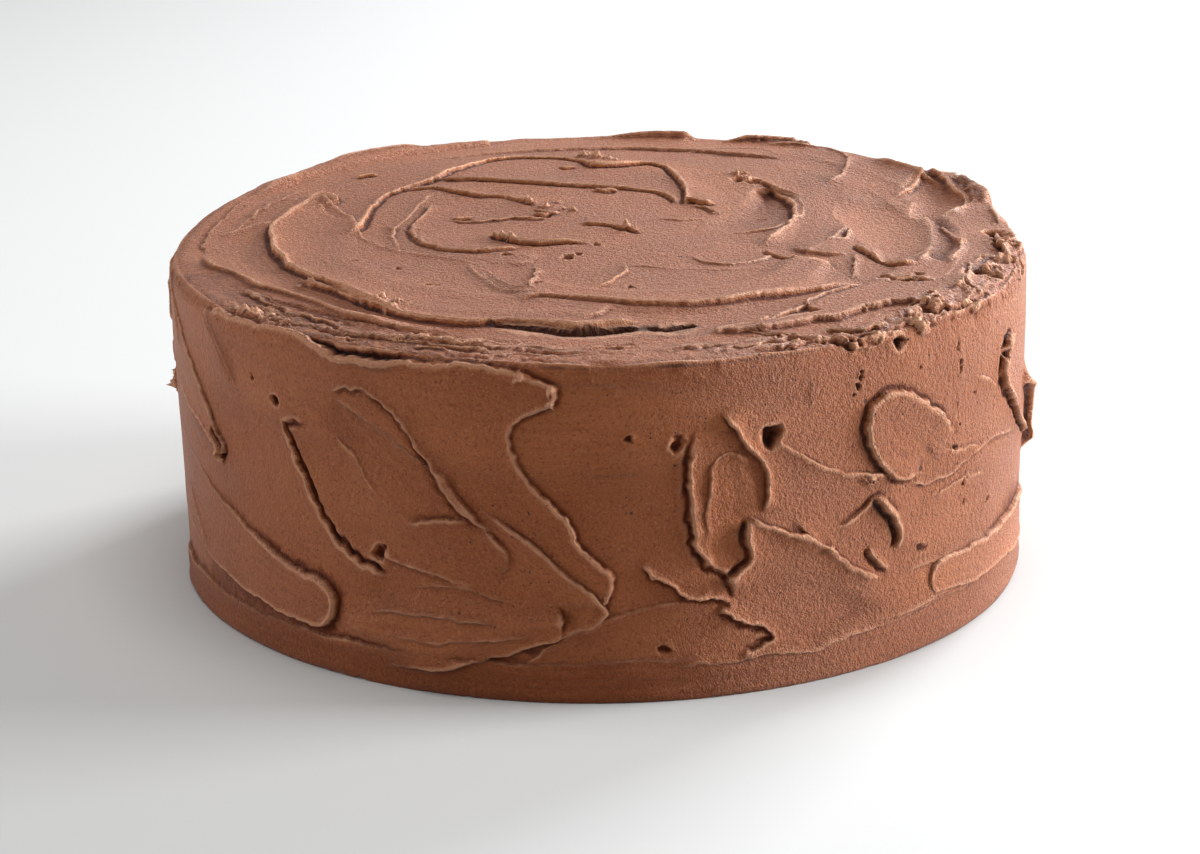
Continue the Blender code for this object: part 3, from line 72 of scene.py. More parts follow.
TOP_RADIUS = CAKE_RADIUS - RIM_ROUNDING
SIDE_HEIGHT = RIM_HEIGHT - RIM_ROUNDING
RIM_ARC = RIM_ROUNDING * math.pi / 2

# The map for the texture, in millimetres: the top's disc, and the side's strips beside it
MAP_SIZE = 384.0
MAP_DISC = 211.0
MAP_GAP = 3.0
MAP_STRIPS = 4
MAP_STRIP_PITCH = 84.0
UNDERSIDE_SCALE = 0.78

# Buttercream's texture: sizes and depths in millimetres. What says top counts on what faces up.
GRAIN_SIZE = 0.42
GRAIN_DEPTH = 0.15
GRAIN_DEPTH_TOP = 0.65
COARSE_GRAIN_SIZE = 1.1
COARSE_GRAIN_DEPTH = 0.15
COARSE_GRAIN_DEPTH_TOP = 0.70
# Dips in the grain, which are also painted with shade, and the size of the grain's painted highlights
SHADED_DIP_SIZE = 0.8
SHADED_DIP_DEPTH = 0.12
GRAIN_HIGHLIGHT_SIZE = 0.7
MARK_SIZE = 1.3
MARK_DEPTH = 0.15
SCRAPE_SIZE = 1.4
SCRAPE_DEPTH = 0.25
PIT_DEPTH = 0.4
CREST_HEIGHT = 0.35
CREASE_DEPTH = 0.25
CLOUD_SIZE = 17.0
PATCH_SIZE = 8.0
# Pits of three sizes: how far apart they are, and the radius of the largest as a share of that
PITS = ((6.5, 0.13), (2.6, 0.18), (1.3, 0.26))
# Bands along a knife line, its crest (raised, with a painted highlight), a painted glow of light through the
# frosting, and its crease (sunk, with painted shade): the middle's distance from the line, towards the raised
# side, and the width
CREST_BAND = (0.12, 0.16)
GLOW_BAND = (-0.18, 0.11)
CREASE_BAND = (-0.45, 0.28)
# Side frosting is rougher the farther it is to the right: from here to there, and how rough at most
ROUGH_FROM, ROUGH_TO, ROUGH_SIDE = 0.0, 60.0, 0.7

# How far from a point its surroundings are averaged, to tell hollows from crests
HOLLOW_REACH = 1.1
# A hole in the top that is deeper than this gets painted shade inside
DARK_HOLE = 2.1
# The torn face of the ledge at the front left, which gets painted shade: from and to, as the way from the
# axis over the surface, then how dark the shade is
LEDGE_BAND = (89.0, 103.5)
LEDGE_SHADE = 0.55

# Buttercream's colours, and how strongly each shows
DEEP_BROWN = (0.195, 0.048, 0.013, 1.0)
MILKY_BROWN = (0.350, 0.107, 0.037, 1.0)
# Painted light and shade: a highlight, a deep shade, a shade, and a glow of light through the frosting
HIGHLIGHT_BROWN = (0.66, 0.33, 0.19, 1.0)
SHADOW_BROWN = (0.045, 0.008, 0.002, 1.0)
SHADED_BROWN = (0.105, 0.019, 0.004, 1.0)
GLOW_BROWN = (0.42, 0.11, 0.02, 1.0)
# How strongly the painted shade in the grain's dips and the grain's painted highlights show, the highlights
# more on what faces up; then the painted shade on the foot
DIP_SHADE = 0.6
GRAIN_HIGHLIGHTS = 0.14
GRAIN_HIGHLIGHTS_TOP = 0.42
FOOT_SHADE = 0.35
GLOSS = 0.15
DULL_GLOSS = 0.03
GLOSS_TINT = (1.0, 0.9, 0.85, 1.0)
SHEEN = 0.10
ROUGHNESS = 0.46

# Camera and light
CAMERA_PLACE = Vector((-0.0003, -0.667, 0.2446))
CAMERA_PITCH = math.radians(17.83)
CAMERA_ROLL = math.radians(-0.677)
LENS = 83.6
AIM = Vector((0.0, 0.0, 0.045))
FLOOR_REACH = 8.0
FLOOR_CORNERS = 48
FLOOR_COLOUR = (0.48, 0.48, 0.48, 1.0)
SKY_STRENGTH = 0.27
SKY_COLOUR = (1.0, 0.97, 0.94, 1.0)
# The window's light is cooler than the room's
DAYLIGHT = (0.95, 0.985, 1.0)
ROOM_LIGHT = (1.0, 0.99, 0.97)
# Each panel: degrees round from the front, degrees up, metres away, size in metres, watts, colour
PANELS = (
    ("right_panel", 93, 10, 1.1, 0.45, 31.0, DAYLIGHT),
    ("back_panel", 140, 25, 1.7, 0.65, 46.0, DAYLIGHT),
    ("back_wall", 170, 18, 1.35, 1.6, 2.1, DAYLIGHT),
    ("left_panel", -84, 15, 1.35, 0.5, 7.6, DAYLIGHT),
    ("top_panel", 10, 85, 1.35, 0.8, 11.5, ROOM_LIGHT),
)


def eased(share):
    """Smooth step from 0 to 1."""
    share = np.clip(share, 0.0, 1.0)
    return share * share * (3.0 - 2.0 * share)


def noise(points, size, seed):
    """Smooth noise from -1 to 1, with bumps of about the given size in millimetres."""
    lattice = np.random.default_rng(seed).uniform(-1, 1, (NOISE_CELLS,) * 3)
    scaled = points / size
    cell = np.floor(scaled).astype(np.int64)
    within = eased(scaled - cell)
    total = np.zeros(len(points))
    for corner in np.ndindex(2, 2, 2):
        weight = np.prod(np.where(corner, within, 1.0 - within), axis=1)
        i, j, k = ((cell + corner) % NOISE_CELLS).T
        total += weight * lattice[i, j, k]
    return total


def smooth_path(points, count):
    """Points along a Catmull-Rom curve through the given ones."""
    points = np.array(points, float)
    if len(points) == 2:
        return points[0] + np.linspace(0, 1, count)[:, None] * (points[1] - points[0])
    ends = [2 * points[0] - points[1], *points, 2 * points[-1] - points[-2]]
    places = np.linspace(0, len(points) - 1 - 1e-9, count)
    curve = []
    for place in places:
        i = int(place)
        t = place - i
        p0, p1, p2, p3 = ends[i : i + 4]
        curve.append(
            0.5 * (2 * p1 + (p2 - p0) * t + (2 * p0 - 5 * p1 + 4 * p2 - p3) * t**2
                   + (3 * p1 - p0 - 3 * p2 + p3) * t**3)
        )
    return np.array(curve)


def swirl(centre, radius, angles, count=9):
    """An arc on the top, as path points: radius and angles are (start, end), and the radius may change."""
    turned = np.radians(np.linspace(angles[0], angles[1], count))
    reach = np.linspace(radius[0], radius[1], count)
    return tuple(
        (centre[0] + r * math.sin(a), centre[1] - r * math.cos(a)) for r, a in zip(reach, turned)
    )


@dataclass
class Stroke:
    """One pass of the knife: a strip of frosting with a round end. Left and right are as seen along it."""

    path: tuple  # (degrees round, mm up) on the side, (x, y) in mm on the top
    width: tuple  # full width along the path, mm
    level: tuple = (0.0, 0.0)  # height over the plain cake, at the start and at the end, mm
    tilt: float = 0.0  # how much higher the left edge is than the right, mm
    dish: float = 0.0  # how far the middle lies under the edges, mm
    ridge: tuple = (0.5, 0.5, 0.8)  # ridge at the left, right and end, mm
    fade: tuple = (10.0, 0.0, 0.0)  # length over which the start, left and right fade in, mm
    ragged: float = 0.6  # how far the outline wanders, mm
    streaks: float = 0.06  # depth of the marks along the stroke, mm
    lean: float = 0.4  # how far its ridges hang over, as a share of their height


@dataclass
class Edge:
    """The visible edge of a broad pass: the frosting steps up here and slopes away behind the edge."""

    path: tuple
    reach: float  # how far the raised frosting runs back from the edge, mm: to the left, or right if negative
    rise: float = 1.0  # height of the step, mm
    ridge: float = 0.4  # ridge along the edge, mm
    slope: float = 0.35  # share of the step that is a slope in front of the edge
    hollow: float = 0.0  # depth of the groove at the foot of the step, mm
    ends: tuple = (6.0, 6.0)  # length over which the edge rises from nothing at its start and end, mm
    ragged: float = 0.6
    streaks: float = 0.0
    lean: float = 0.5
    clears: float = 0.8  # share of the finer relief that the pass wipes away
    crown: float = 0.5  # share of the step that is a narrow roll along the edge
    roll: float = 2.6  # width of that roll, mm


class Frosting:
    """The relief over every point of the cake's surface."""

    def __init__(self, angle, reach):
        """angle is round the axis in radians, reach is the way from the axis over the surface in mm."""
        self.angle, self.reach = angle, reach
        self.base, self.normal, self.down = plain_surface(angle, reach)
        self.around = np.stack([np.cos(angle), np.sin(angle), np.zeros_like(angle)], 1)
        self.bulk = np.zeros(len(angle))
        self.detail = np.zeros(len(angle))
        self.slip = np.zeros((len(angle), 2))  # (around, outward or down)
        self.top = np.stack([reach * np.sin(angle), -reach * np.cos(angle)], 1)
        self.side = np.stack([CAKE_RADIUS * angle, SIDE_HEIGHT + TOP_RADIUS + RIM_ARC - reach], 1)
        self.wander = np.stack(
            [
                noise(self.base, 9.0, 1) + 0.6 * noise(self.base, 3.0, 2) + 0.5 * noise(self.base, 1.3, 7),
                noise(self.base, 9.0, 3) + 0.6 * noise(self.base, 3.0, 4) + 0.5 * noise(self.base, 1.3, 8),
            ],
            1,
        )
        self.patchy = 0.5 + 0.5 * noise(self.base, 7.0, 5)
        self.crumbly = 0.5 + 0.5 * noise(self.base, 2.2, 6)
        self.along = np.zeros(len(angle))
        self.across = np.zeros(len(angle))
        self.tone = np.zeros(len(angle))
        self.line = np.full(len(angle), 9.0)
        self.press = np.zeros(len(angle))
        self.passes = 0

    def nearby(self, path, margin, side, ragged):
        """The points within the margin of a path, and where each lies on the chart of the side or the top."""
        chart = self.side if side else self.top
        low, high = path.min(0) - margin, path.max(0) + margin
        middle, half = (low + high) / 2, (high - low) / 2
        across, up = chart[:, 0] - middle[0], chart[:, 1] - middle[1]
        if side:
            turn = 2 * math.pi * CAKE_RADIUS
            across = (across + turn / 2) % turn - turn / 2
        index = np.nonzero((np.abs(across) < half[0]) & (np.abs(up) < half[1]))[0]
        return index, middle + np.stack([across[index], up[index]], 1) + ragged * self.wander[index]

    def lay(self, what, side):
        """Adds one pass of the knife."""
        self.passes += 1
        points = np.array(what.path, float)
        if side:
            points[:, 0] = np.radians(points[:, 0]) * CAKE_RADIUS
        path = smooth_path(points, 8 * len(points))
        length = np.linalg.norm(np.diff(path, axis=0), axis=1).sum()
        if isinstance(what, Stroke):
            self.lay_stroke(what, path, length, side)
        else:
            self.lay_edge(what, path, length, side)

    def lay_stroke(self, stroke, path, length, side):
        width = np.array(stroke.width, float) / 2
        index, place = self.nearby(path, width.max() + 6, side, stroke.ragged)
        share, offset, gap, outward, past = nearest(path, place)
        half = np.interp(share, np.linspace(0, 1, len(width)), width)
        inside = half - gap
        start_fade, left_fade, right_fade = stroke.fade
        felt = eased(share * length / start_fade) if start_fade else np.ones(len(index))
        if left_fade:
            felt *= eased((half - offset) / left_fade)
        if right_fade:
            felt *= eased((half + offset) / right_fade)
        cover = felt * eased((inside + WALL / 2) / WALL)
        across = np.clip(offset / np.maximum(half, 0.1), -1, 1)
        level = stroke.level[0] + (stroke.level[1] - stroke.level[0]) * share
        level = level + 0.5 * stroke.tilt * across - stroke.dish * (1 - across**2)
        self.bulk[index] += cover * (level - self.bulk[index])
        self.clear(index, cover, stroke.streaks * streaks(offset, self.passes))

        at_end = eased(past)
        left, right = (offset > 0) * (1 - at_end), (offset <= 0) * (1 - at_end)
        ridge = stroke.ridge[0] * left + stroke.ridge[1] * right + stroke.ridge[2] * at_end
        ridge *= eased(share * length / max(start_fade, 2.0))
        self.push_ridge(index, inside, ridge, stroke.lean, outward, side)
        self.remember(index, cover, share * length, offset)

    def lay_edge(self, edge, path, length, side):
        sign, width = math.copysign(1.0, edge.reach), abs(edge.reach)
        index, place = self.nearby(path, width + 4, side, edge.ragged)
        share, offset, gap, outward, past = nearest(path, place)
        along, depth, away, _, _ = nearest(straightened(path, length), place)
        inside, depth = sign * offset, sign * depth
        beyond = np.sqrt(np.maximum(away**2 - depth**2, 0))
        felt = eased(along * length / edge.ends[0]) * eased((1 - along) * length / edge.ends[1])
        felt *= eased(1 - beyond / 4)
        back = 1 - np.clip(depth / width, 0, 1)
        roll = back * np.exp(-np.maximum(depth, 0) / edge.roll)
        body = felt * ((1 - edge.crown) * back**2 + edge.crown * roll)
        wall = WALL + 0.55 * edge.rise
        sharp = eased((inside + wall / 2) / wall)
        cover = body * sharp
        foot = edge.slope * felt * (1 - sharp) * np.exp(np.minimum(inside, 0) / 3.0)
        groove = edge.hollow * felt * (0.6 + 0.6 * self.crumbly[index])
        groove *= np.exp(-(((inside + 0.9) / 0.65) ** 2))
        self.bulk[index] += edge.rise * (cover + foot) - groove
        marks = edge.streaks * streaks(inside, self.passes) * np.exp(-((inside / 7) ** 2))
        self.clear(index, edge.clears * cover, marks)
        self.push_ridge(index, inside, edge.ridge * felt, edge.lean, out_of(inside, outward), side)
        self.remember(index, cover, share * length, inside)

    def clear(self, index, cover, marks):
        self.detail[index] += cover * (marks - self.detail[index])
        self.slip[index] *= (1 - cover)[:, None]
        self.press[index] *= 1 - cover

    def push_ridge(self, index, inside, ridge, lean, outward, side):
        """The ridge that the knife pushes up along its edge, uneven as frosting is."""
        ridge = ridge * (0.45 + 0.8 * self.patchy[index]) * (0.9 + 0.2 * self.crumbly[index])
        inner, outer = 0.5 + 0.4 * ridge, 0.34 + 0.2 * ridge
        crest = ridge * np.exp(-((inside - 0.3) / np.where(inside > 0.3, inner, outer)) ** 2)
        self.detail[index] += crest
        press = ridge * np.exp(-((inside / 1.3) ** 2))
        nearer = press > self.press[index]
        self.line[index[nearer]] = inside[nearer]
        self.press[index[nearer]] = press[nearer]
        hang = (lean * crest)[:, None] * outward
        if side:
            self.slip[index] += hang * np.array([1.0, -1.0])
        else:
            a = self.angle[index]
            self.slip[index, 0] += hang[:, 0] * np.cos(a) + hang[:, 1] * np.sin(a)
            self.slip[index, 1] += hang[:, 0] * np.sin(a) - hang[:, 1] * np.cos(a)

    def remember(self, index, cover, along, across):
        """Keeps which way the knife went here, and the stroke's own shade."""
        covered = cover > 0.5
        self.along[index[covered]] = along[covered]
        self.across[index[covered]] = across[covered]
        shade = np.random.default_rng(self.passes).uniform(-1, 1)
        self.tone[index] += cover * (shade - self.tone[index])

    def points(self):
        """The frosted surface."""
        slip = self.slip[:, :1] * self.around + self.slip[:, 1:] * self.down
        slip *= eased(self.base[:, 2:] / 5)
        return self.base + self.normal * (self.bulk + self.detail)[:, None] + slip


def out_of(inside, outward):
    """The unit vectors that point out of the raised frosting."""
    return np.where(inside > 0, -1.0, 1.0)[:, None] * outward


def streaks(offset, seed):
    """Fine marks that run along a stroke, from -1 to 1."""
    table = np.random.default_rng(seed).uniform(-1, 1, 512)
    coarse = np.interp(offset / 2.6 % 255, np.arange(256), table[:256])
    fine = np.interp(offset / 1.1 % 255, np.arange(256), table[256:])
    return 0.6 * coarse + 0.4 * fine


def straightened(path, length):
    """The path without its small bends, so that the frosting behind a ragged edge slopes evenly."""
    spacing = length / (len(path) - 1)
    reach = min(0.18 * length, 12.0) / spacing
    span = int(3 * reach) + 1
    before = 2 * path[0] - path[span:0:-1] if span < len(path) else path[:0]
    after = 2 * path[-1] - path[-2 : -span - 2 : -1] if span < len(path) else path[:0]
    if not len(before):
        return path
    long = np.concatenate([before, path, after])
    weights = np.exp(-0.5 * (np.arange(-span, span + 1) / reach) ** 2)
    weights /= weights.sum()
    return np.stack([np.convolve(long[:, axis], weights, "valid") for axis in (0, 1)], 1)


def nearest(path, places):
    """For each place: the share along the path, the offset to its left, the distance, the unit vector
    away from the path, and how squarely it lies past the path's end."""
    steps = np.diff(path, axis=0)
    lengths = np.linalg.norm(steps, axis=1)
    before = np.concatenate([[0.0], np.cumsum(lengths)])
    closest = np.argmin((path**2).sum(1) - 2 * places @ path.T, axis=1)
    found = None
    for first in (np.maximum(closest - 1, 0), np.minimum(closest, len(steps) - 1)):
        step, length = steps[first], lengths[first]
        t = np.clip(((places - path[first]) * step).sum(1) / length**2, 0, 1)
        away = places - path[first] - t[:, None] * step
        gap = np.linalg.norm(away, axis=1)
        share = (before[first] + t * length) / before[-1]
        here = np.stack([gap, share, *away.T, *(step / length[:, None]).T])
        found = here if found is None else np.where(gap < found[0], here, found)
    gap, share, away, heading = found[0], found[1], found[2:4].T, found[4:6].T
    outward = away / np.maximum(gap, 1e-6)[:, None]
    offset = heading[:, 0] * away[:, 1] - heading[:, 1] * away[:, 0]
    past = np.where(share > 0.999, (outward * heading).sum(1), 0.0)
    return share, offset, gap, outward, past


def plain_surface(angle, reach):
    """Points, outward normals and downward directions of the cake before it is spread."""
    on_top = reach < TOP_RADIUS
    turned = np.clip((reach - TOP_RADIUS) / RIM_ROUNDING, 0, math.pi / 2)
    below = np.maximum(reach - TOP_RADIUS - RIM_ARC, 0)
    radius = np.where(on_top, reach, TOP_RADIUS + RIM_ROUNDING * np.sin(turned))
    height = RIM_HEIGHT - RIM_ROUNDING * (1 - np.cos(turned)) - below
    height += DOME_RISE * np.maximum(1 - (radius / TOP_RADIUS) ** 2, 0) ** 1.5
    radius -= BASE_TUCK * np.maximum(1 - height / BASE_TUCK_HEIGHT, 0) ** 2
    height *= 1 + BACK_RISE / RIM_HEIGHT * eased((-radius * np.cos(angle) + 5) / 80)
    away = np.stack([np.sin(angle), -np.cos(angle), np.zeros_like(angle)], 1)
    up = np.array([0.0, 0.0, 1.0])
    points = radius[:, None] * away + height[:, None] * up
    normal = np.sin(turned)[:, None] * away + np.cos(turned)[:, None] * up
    down = np.cos(turned)[:, None] * away - np.sin(turned)[:, None] * up
    return points, normal, down


def cake_grid(cells):
    """Angle and reach of every point of the surface, with its faces. The last ring is the foot."""
    line = np.linspace(-1, 1, cells + 1)
    a, b = (g.ravel() for g in np.meshgrid(line, line))
    wide = np.abs(a) > np.abs(b)
    with np.errstate(divide="ignore", invalid="ignore"):
        turned = np.where(wide, math.pi / 4 * b / a, math.pi / 2 - math.pi / 4 * a / b)
    turned = np.where((a == 0) & (b == 0), 0, turned) + np.where(np.where(wide, a, b) < 0, math.pi, 0)
    top_angle = (turned + math.pi) % (2 * math.pi) - math.pi
    top_reach = np.maximum(np.abs(a), np.abs(b)) * TOP_RADIUS
    n = cells + 1
    number = np.arange(n * n).reshape(n, n)
    faces = [np.stack([number[:-1, :-1], number[:-1, 1:], number[1:, 1:], number[1:, :-1]], 2).reshape(-1, 4)]
    loop = np.concatenate([number[0, :-1], number[:-1, -1], number[-1, :0:-1], number[:0:-1, 0]])

    cell = 2 * math.pi * TOP_RADIUS / len(loop)
    rim_rows = max(2, round(RIM_ARC / cell))
    side_rows = round(SIDE_HEIGHT / cell)
    reaches = np.concatenate([
        TOP_RADIUS + RIM_ARC * np.linspace(0, 1, rim_rows + 1)[1:],
        TOP_RADIUS + RIM_ARC + SIDE_HEIGHT * np.linspace(0, 1, side_rows + 1)[1:],
    ])
    angle = [top_angle]
    reach = [top_reach]
    upper = loop
    for row, distance in enumerate(reaches):
        lower = n * n + row * len(loop) + np.arange(len(loop))
        angle.append(top_angle[loop])
        reach.append(np.full(len(loop), distance))
        faces.append(np.stack([upper, lower, np.roll(lower, -1), np.roll(upper, -1)], 1))
        upper = lower
    return np.concatenate(angle), np.concatenate(reach), np.concatenate(faces), upper


# The side, from the left round the front to the right
SIDE_PASSES = (
    # the smooth upright pass round the front, and the band that the scraper left at the foot
    Stroke(
        ((-78, 66), (-55, 68), (-20, 62), (20, 62), (32, 62)), (26, 30, 30, 28, 2), (0.6, 0.0),
        ridge=(0, 0, 0), fade=(10, 6, 10),
    ),
    Stroke(
        ((-80, 4), (-30, 4), (20, 4), (80, 5)), (10, 9, 13, 16), (0.6, 0.5), ridge=(0.08, 0, 0),
        streaks=0.3,
    ),
    # the broad left facet, standing over the front
    Edge(
        ((-62, 76.5), (-52, 77.8), (-44, 78.6), (-39.5, 78.3), (-37, 76.6), (-34, 75.1), (-31.5, 74.7),
         (-26, 75.5), (-20, 76.2), (-14, 76.4), (-9.6, 75), (-5.4, 72), (-6.2, 68.5), (-10, 65),
         (-10.8, 59), (-8, 50), (-4, 42), (-3.2, 38), (-0.5, 33), (1.2, 29), (0, 22)), reach=-40, rise=1.3,
        ridge=0.45, hollow=0.15, ends=(16, 3), clears=0.5, crown=0.25, ragged=0.8,
    ),
    # the dark gap behind the facet's lip
    Edge(
        ((-42, 78), (-39, 77.6), (-37, 76.6), (-34, 75.2), (-31, 74.8), (-26, 75.6), (-21, 76.2)), reach=-3,
        rise=0.4, ridge=0.5, hollow=2.2, ends=(4, 12), clears=0.2, roll=1.5,
    ),
    # the leaf-shaped hollow in it
    Stroke(
        ((-36, 64), (-32, 57), (-25, 46), (-14, 33)), (8, 17, 20, 10), (0.0, 0.9), dish=0.4,
        ridge=(0.1, 0, 0), fade=(8, 0, 8),
    ),
    Edge(
        ((-34, 67), (-31, 68.5), (-27, 66.8), (-24.4, 61.7), (-20.7, 52.3), (-17, 44), (-12, 37.7)),
        reach=9, rise=0.45, ridge=0.34, hollow=0.5, ends=(4, 8), ragged=0.8,
    ),
    Edge(
        ((-38, 60), (-42, 58), (-42.5, 55), (-41, 50), (-39, 43), (-37.5, 37), (-35, 32), (-31, 28.5),
         (-27, 25)), reach=-22, rise=0.9, ridge=0.4, hollow=1.0, ends=(5, 5), clears=0.3, ragged=0.9,
    ),
    Edge(((-35, 58), (-31, 52), (-29, 46), (-26, 42)), reach=-7, rise=0.17, ridge=0.24),
    Edge(((-24, 39), (-21.5, 40.2), (-15, 42)), reach=-6, rise=0.26, ridge=0.36, hollow=0.39, ends=(3, 6)),
    # the pointed stroke that ends under the facet's corner
    Stroke(
        ((-36, 13), (-22, 15), (-8, 19)), (10, 22, 12), (0.9, 1.3), ridge=(0, 0, 0), fade=(10, 8, 6),
        streaks=0.22,
    ),
    Edge(
        ((-15, 45), (-9, 37.5), (-4.5, 31), (-0.5, 24), (0.4, 20.6), (-3, 17), (-8, 13.5), (-13, 10),
         (-20, 6.5), (-28, 4.5)), reach=-14, rise=0.7, ridge=0.5, ends=(10, 12), clears=0.3, crown=0.3,
    ),
    Edge(((-29, 33), (-27, 30), (-22, 28.5), (-14, 25)), reach=5, rise=0.21, ridge=0.32, hollow=0.26),
    Edge(((-25, 24), (-19, 25.5), (-9, 22.5)), reach=5, rise=0.17, ridge=0.24, hollow=0.16),
    Edge(((-30, 17), (-21, 18), (-12, 17.5)), reach=4, rise=0.17, ridge=0.24, hollow=0.13),
    Edge(((-27, 12), (-18, 13), (-8, 16)), reach=4, rise=0.17, ridge=0.24, hollow=0.13),
    # the smears and the lobe on the far left
    Stroke(
        ((-86, 70), (-75, 64), (-64, 54), (-56.5, 46)), (20, 18, 11, 4), (0.3, 1.3), ridge=(0.35, 0.3, 1.0),
        lean=0.9, ragged=1.2,
    ),
    Edge(
        ((-59, 49), (-56.2, 45.5), (-57, 41.8)), reach=-4, rise=0.9, ridge=1.0, hollow=0.6, ends=(2, 2),
        ragged=1.2, roll=1.6,
    ),
    Stroke(
        ((-80, 34), (-66, 27), (-52, 21), (-42, 17), (-38, 16.6)), (20, 21, 19, 15, 12), (0.0, 1.6),
        dish=0.2, ridge=(0.16, 0.08, 0.22), fade=(16, 0, 0),
    ),
    Edge(((-71, 30), (-66, 22), (-62, 16)), reach=9, rise=0.34, ridge=0.32),
    Stroke(((-83, 66), (-83.5, 58), (-83, 51)), (6, 9, 6), (-1.2, -1.0), ridge=(0, 0, 0), fade=(5, 3, 3)),
    Edge(
        ((-90, 77), (-87, 70), (-84, 62), (-82, 55)), reach=-5, rise=0.8, ridge=0.6, hollow=0.9,
        ends=(3, 6), ragged=1.2,
    ),
    Edge(((-74, 74), (-72.5, 68), (-71, 62)), reach=4, rise=0.3, ridge=0.3, hollow=0.6, ends=(3, 4)),
    Edge(((-60, 77), (-57, 73), (-51, 61)), reach=5, rise=0.3, ridge=0.24, hollow=0.33, ends=(3, 6)),
    # the dark smooth field at the lower right
    Stroke(
        ((8, 12), (20, 19), (30, 16), (37, 13)), (10, 28, 20, 4), (0.4, -1.6), ridge=(0, 0, 0),
        fade=(8, 8, 5),
    ),
    # the upright stroke beside the middle: a groove down its left, and an ear-shaped ridge round a hollow
    Edge(
        ((11.2, 63), (10.7, 57), (10.4, 50), (10.3, 44), (11.2, 35), (12.4, 31.6), (15.2, 27.8), (16, 22)),
        reach=14, rise=0.8, ridge=0.36, hollow=1.0, ends=(8, 3), ragged=0.8,
    ),
    Stroke(
        ((15.6, 27), (15.6, 36), (16, 46), (15.6, 52)), (6, 12, 13, 9), (0.2, 0.3), dish=0.6,
        ridge=(0.36, 0, 0.36), fade=(6, 0, 3),
    ),
    Edge(
        ((13.8, 65.5), (15.2, 62.7), (17, 58.6), (19.4, 52.4), (20.2, 47), (19.5, 42)), reach=9, rise=1.3,
        ridge=0.5, ends=(4, 3), crown=0.8, slope=0.1,
    ),
    # the right of the front: plates that hang from thick lips
    Edge(
        ((20.6, 58.6), (24.1, 53.7), (27.6, 50.4), (31.2, 47.9), (38, 45), (45, 42)), reach=-14, rise=0.7,
        ridge=0.44, ends=(3, 9),
    ),
    Edge(
        ((17.7, 41.2), (19.6, 38.9), (22.2, 37), (25.4, 35), (28.5, 30.6), (30.7, 26.6), (33, 23.8),
         (37, 21.2)), reach=-16, rise=1.1, ridge=0.7, ends=(3, 5), crown=0.6,
    ),
    Edge(((22.5, 40), (24.5, 37.4), (26.6, 33.7), (28.8, 30.4)), reach=6, rise=0.3, ridge=0.5),
    Edge(
        ((17.5, 41), (17.1, 36), (17.7, 31.4), (16, 28.4), (14.6, 25.8)), reach=10, rise=1.2, ridge=0.44,
        hollow=1.0, ends=(2, 3),
    ),
    # the upturned flap, and the ridge and lobe under it
    Edge(
        ((29, 35), (33, 38), (36, 40.6), (37.6, 38), (40, 33.6)), reach=-9, rise=0.5, ridge=0.4, hollow=0.3,
    ),
    Edge(
        ((35.2, 41), (36.6, 38), (38.4, 34), (39.2, 30), (38.6, 26.4)), reach=12, rise=1.7, ridge=0.8,
        hollow=1.2, ends=(3, 3),
    ),
    Edge(((34.4, 29.6), (35.2, 26), (38, 22)), reach=8, rise=0.8, ridge=0.5, hollow=0.8, ends=(2, 3)),
    Edge(((39, 21), (45, 21.2), (55, 20.5), (62, 19)), reach=10, rise=0.34, ridge=0.36),
    Stroke(((80, 16), (58, 15.5), (47, 16.8)), (11, 10, 8), (1.0, 1.6), dish=0.3, ridge=(0.32, 0.4, 0.48)),
    # the ear-shaped lobe
    Edge(
        ((50, 49.5), (45.3, 56.8), (41.5, 61.2), (38.6, 63.3), (36.2, 63.6), (34.2, 61.6), (33.7, 57.5),
         (34.4, 52.6), (36.3, 48), (39, 44.4), (43, 41.8)), reach=16, rise=1.5, ridge=0.4, hollow=0.6,
        ends=(8, 6), ragged=0.9, crown=0.3,
    ),
    # the jagged edge low on the right
    Edge(
        ((4.5, 32), (5.6, 29.2), (8.2, 27.4), (10.3, 24.2), (14, 23), (15.2, 20.6), (13.8, 19.2)), reach=10,
        rise=0.5, ridge=0.6, hollow=0.4, ragged=0.9, ends=(2, 2),
    ),
    Edge(
        ((13.5, 20), (16.5, 16.6), (20.2, 15.4), (21.3, 12.6), (19.7, 11), (17, 10)), reach=9, rise=0.6,
        ridge=0.44, hollow=0.8, ragged=1.0, ends=(2, 2),
    ),
    Edge(((11, 24), (5, 22), (0, 19.5), (-5, 15), (-10, 8)), reach=6, rise=0.17, ridge=0.24),
    Edge(((8, 8), (21, 8.6), (27, 7.8), (33, 9), (40, 10.2), (58, 10.8)), reach=9, rise=0.34, ridge=0.24),
    # the smear that stands out on the right
    Edge(
        ((67, 66), (63.5, 63.5), (62.6, 57), (65.1, 51), (69.7, 43.5), (77.5, 34)), reach=12, rise=1.3,
        ridge=0.5, hollow=1.3, lean=0.6, ends=(3, 6), ragged=1.3, crown=0.7,
    ),
    Edge(
        ((75, 50), (78.5, 46), (80.6, 41), (80.6, 36), (78, 31)), reach=7, rise=4.8, ridge=0.9, hollow=0.6,
        ends=(4, 4), ragged=0.8, crown=0.6, roll=2.6, slope=0.1,
    ),
    Edge(((54.2, 60.9), (57, 59.6), (60.9, 55.5)), reach=-6, rise=0.5, ridge=0.4, ends=(4, 3)),
    Edge(
        ((41.5, 41), (46, 39.6), (53, 41.5), (60, 43), (68, 41)), reach=8, rise=0.4, ridge=0.35, hollow=0.3,
        ends=(3, 6),
    ),
    Edge(((44, 36), (52, 38), (58, 35)), reach=-6, rise=0.21, ridge=0.28, ragged=1.2),
    Edge(((47, 47), (53, 43), (60, 42)), reach=-6, rise=0.21, ridge=0.28, ragged=1.2),
    Edge(((25.5, 74), (26.5, 68), (26, 60)), reach=5, rise=0.1, ridge=0.2, ragged=1.4),
)

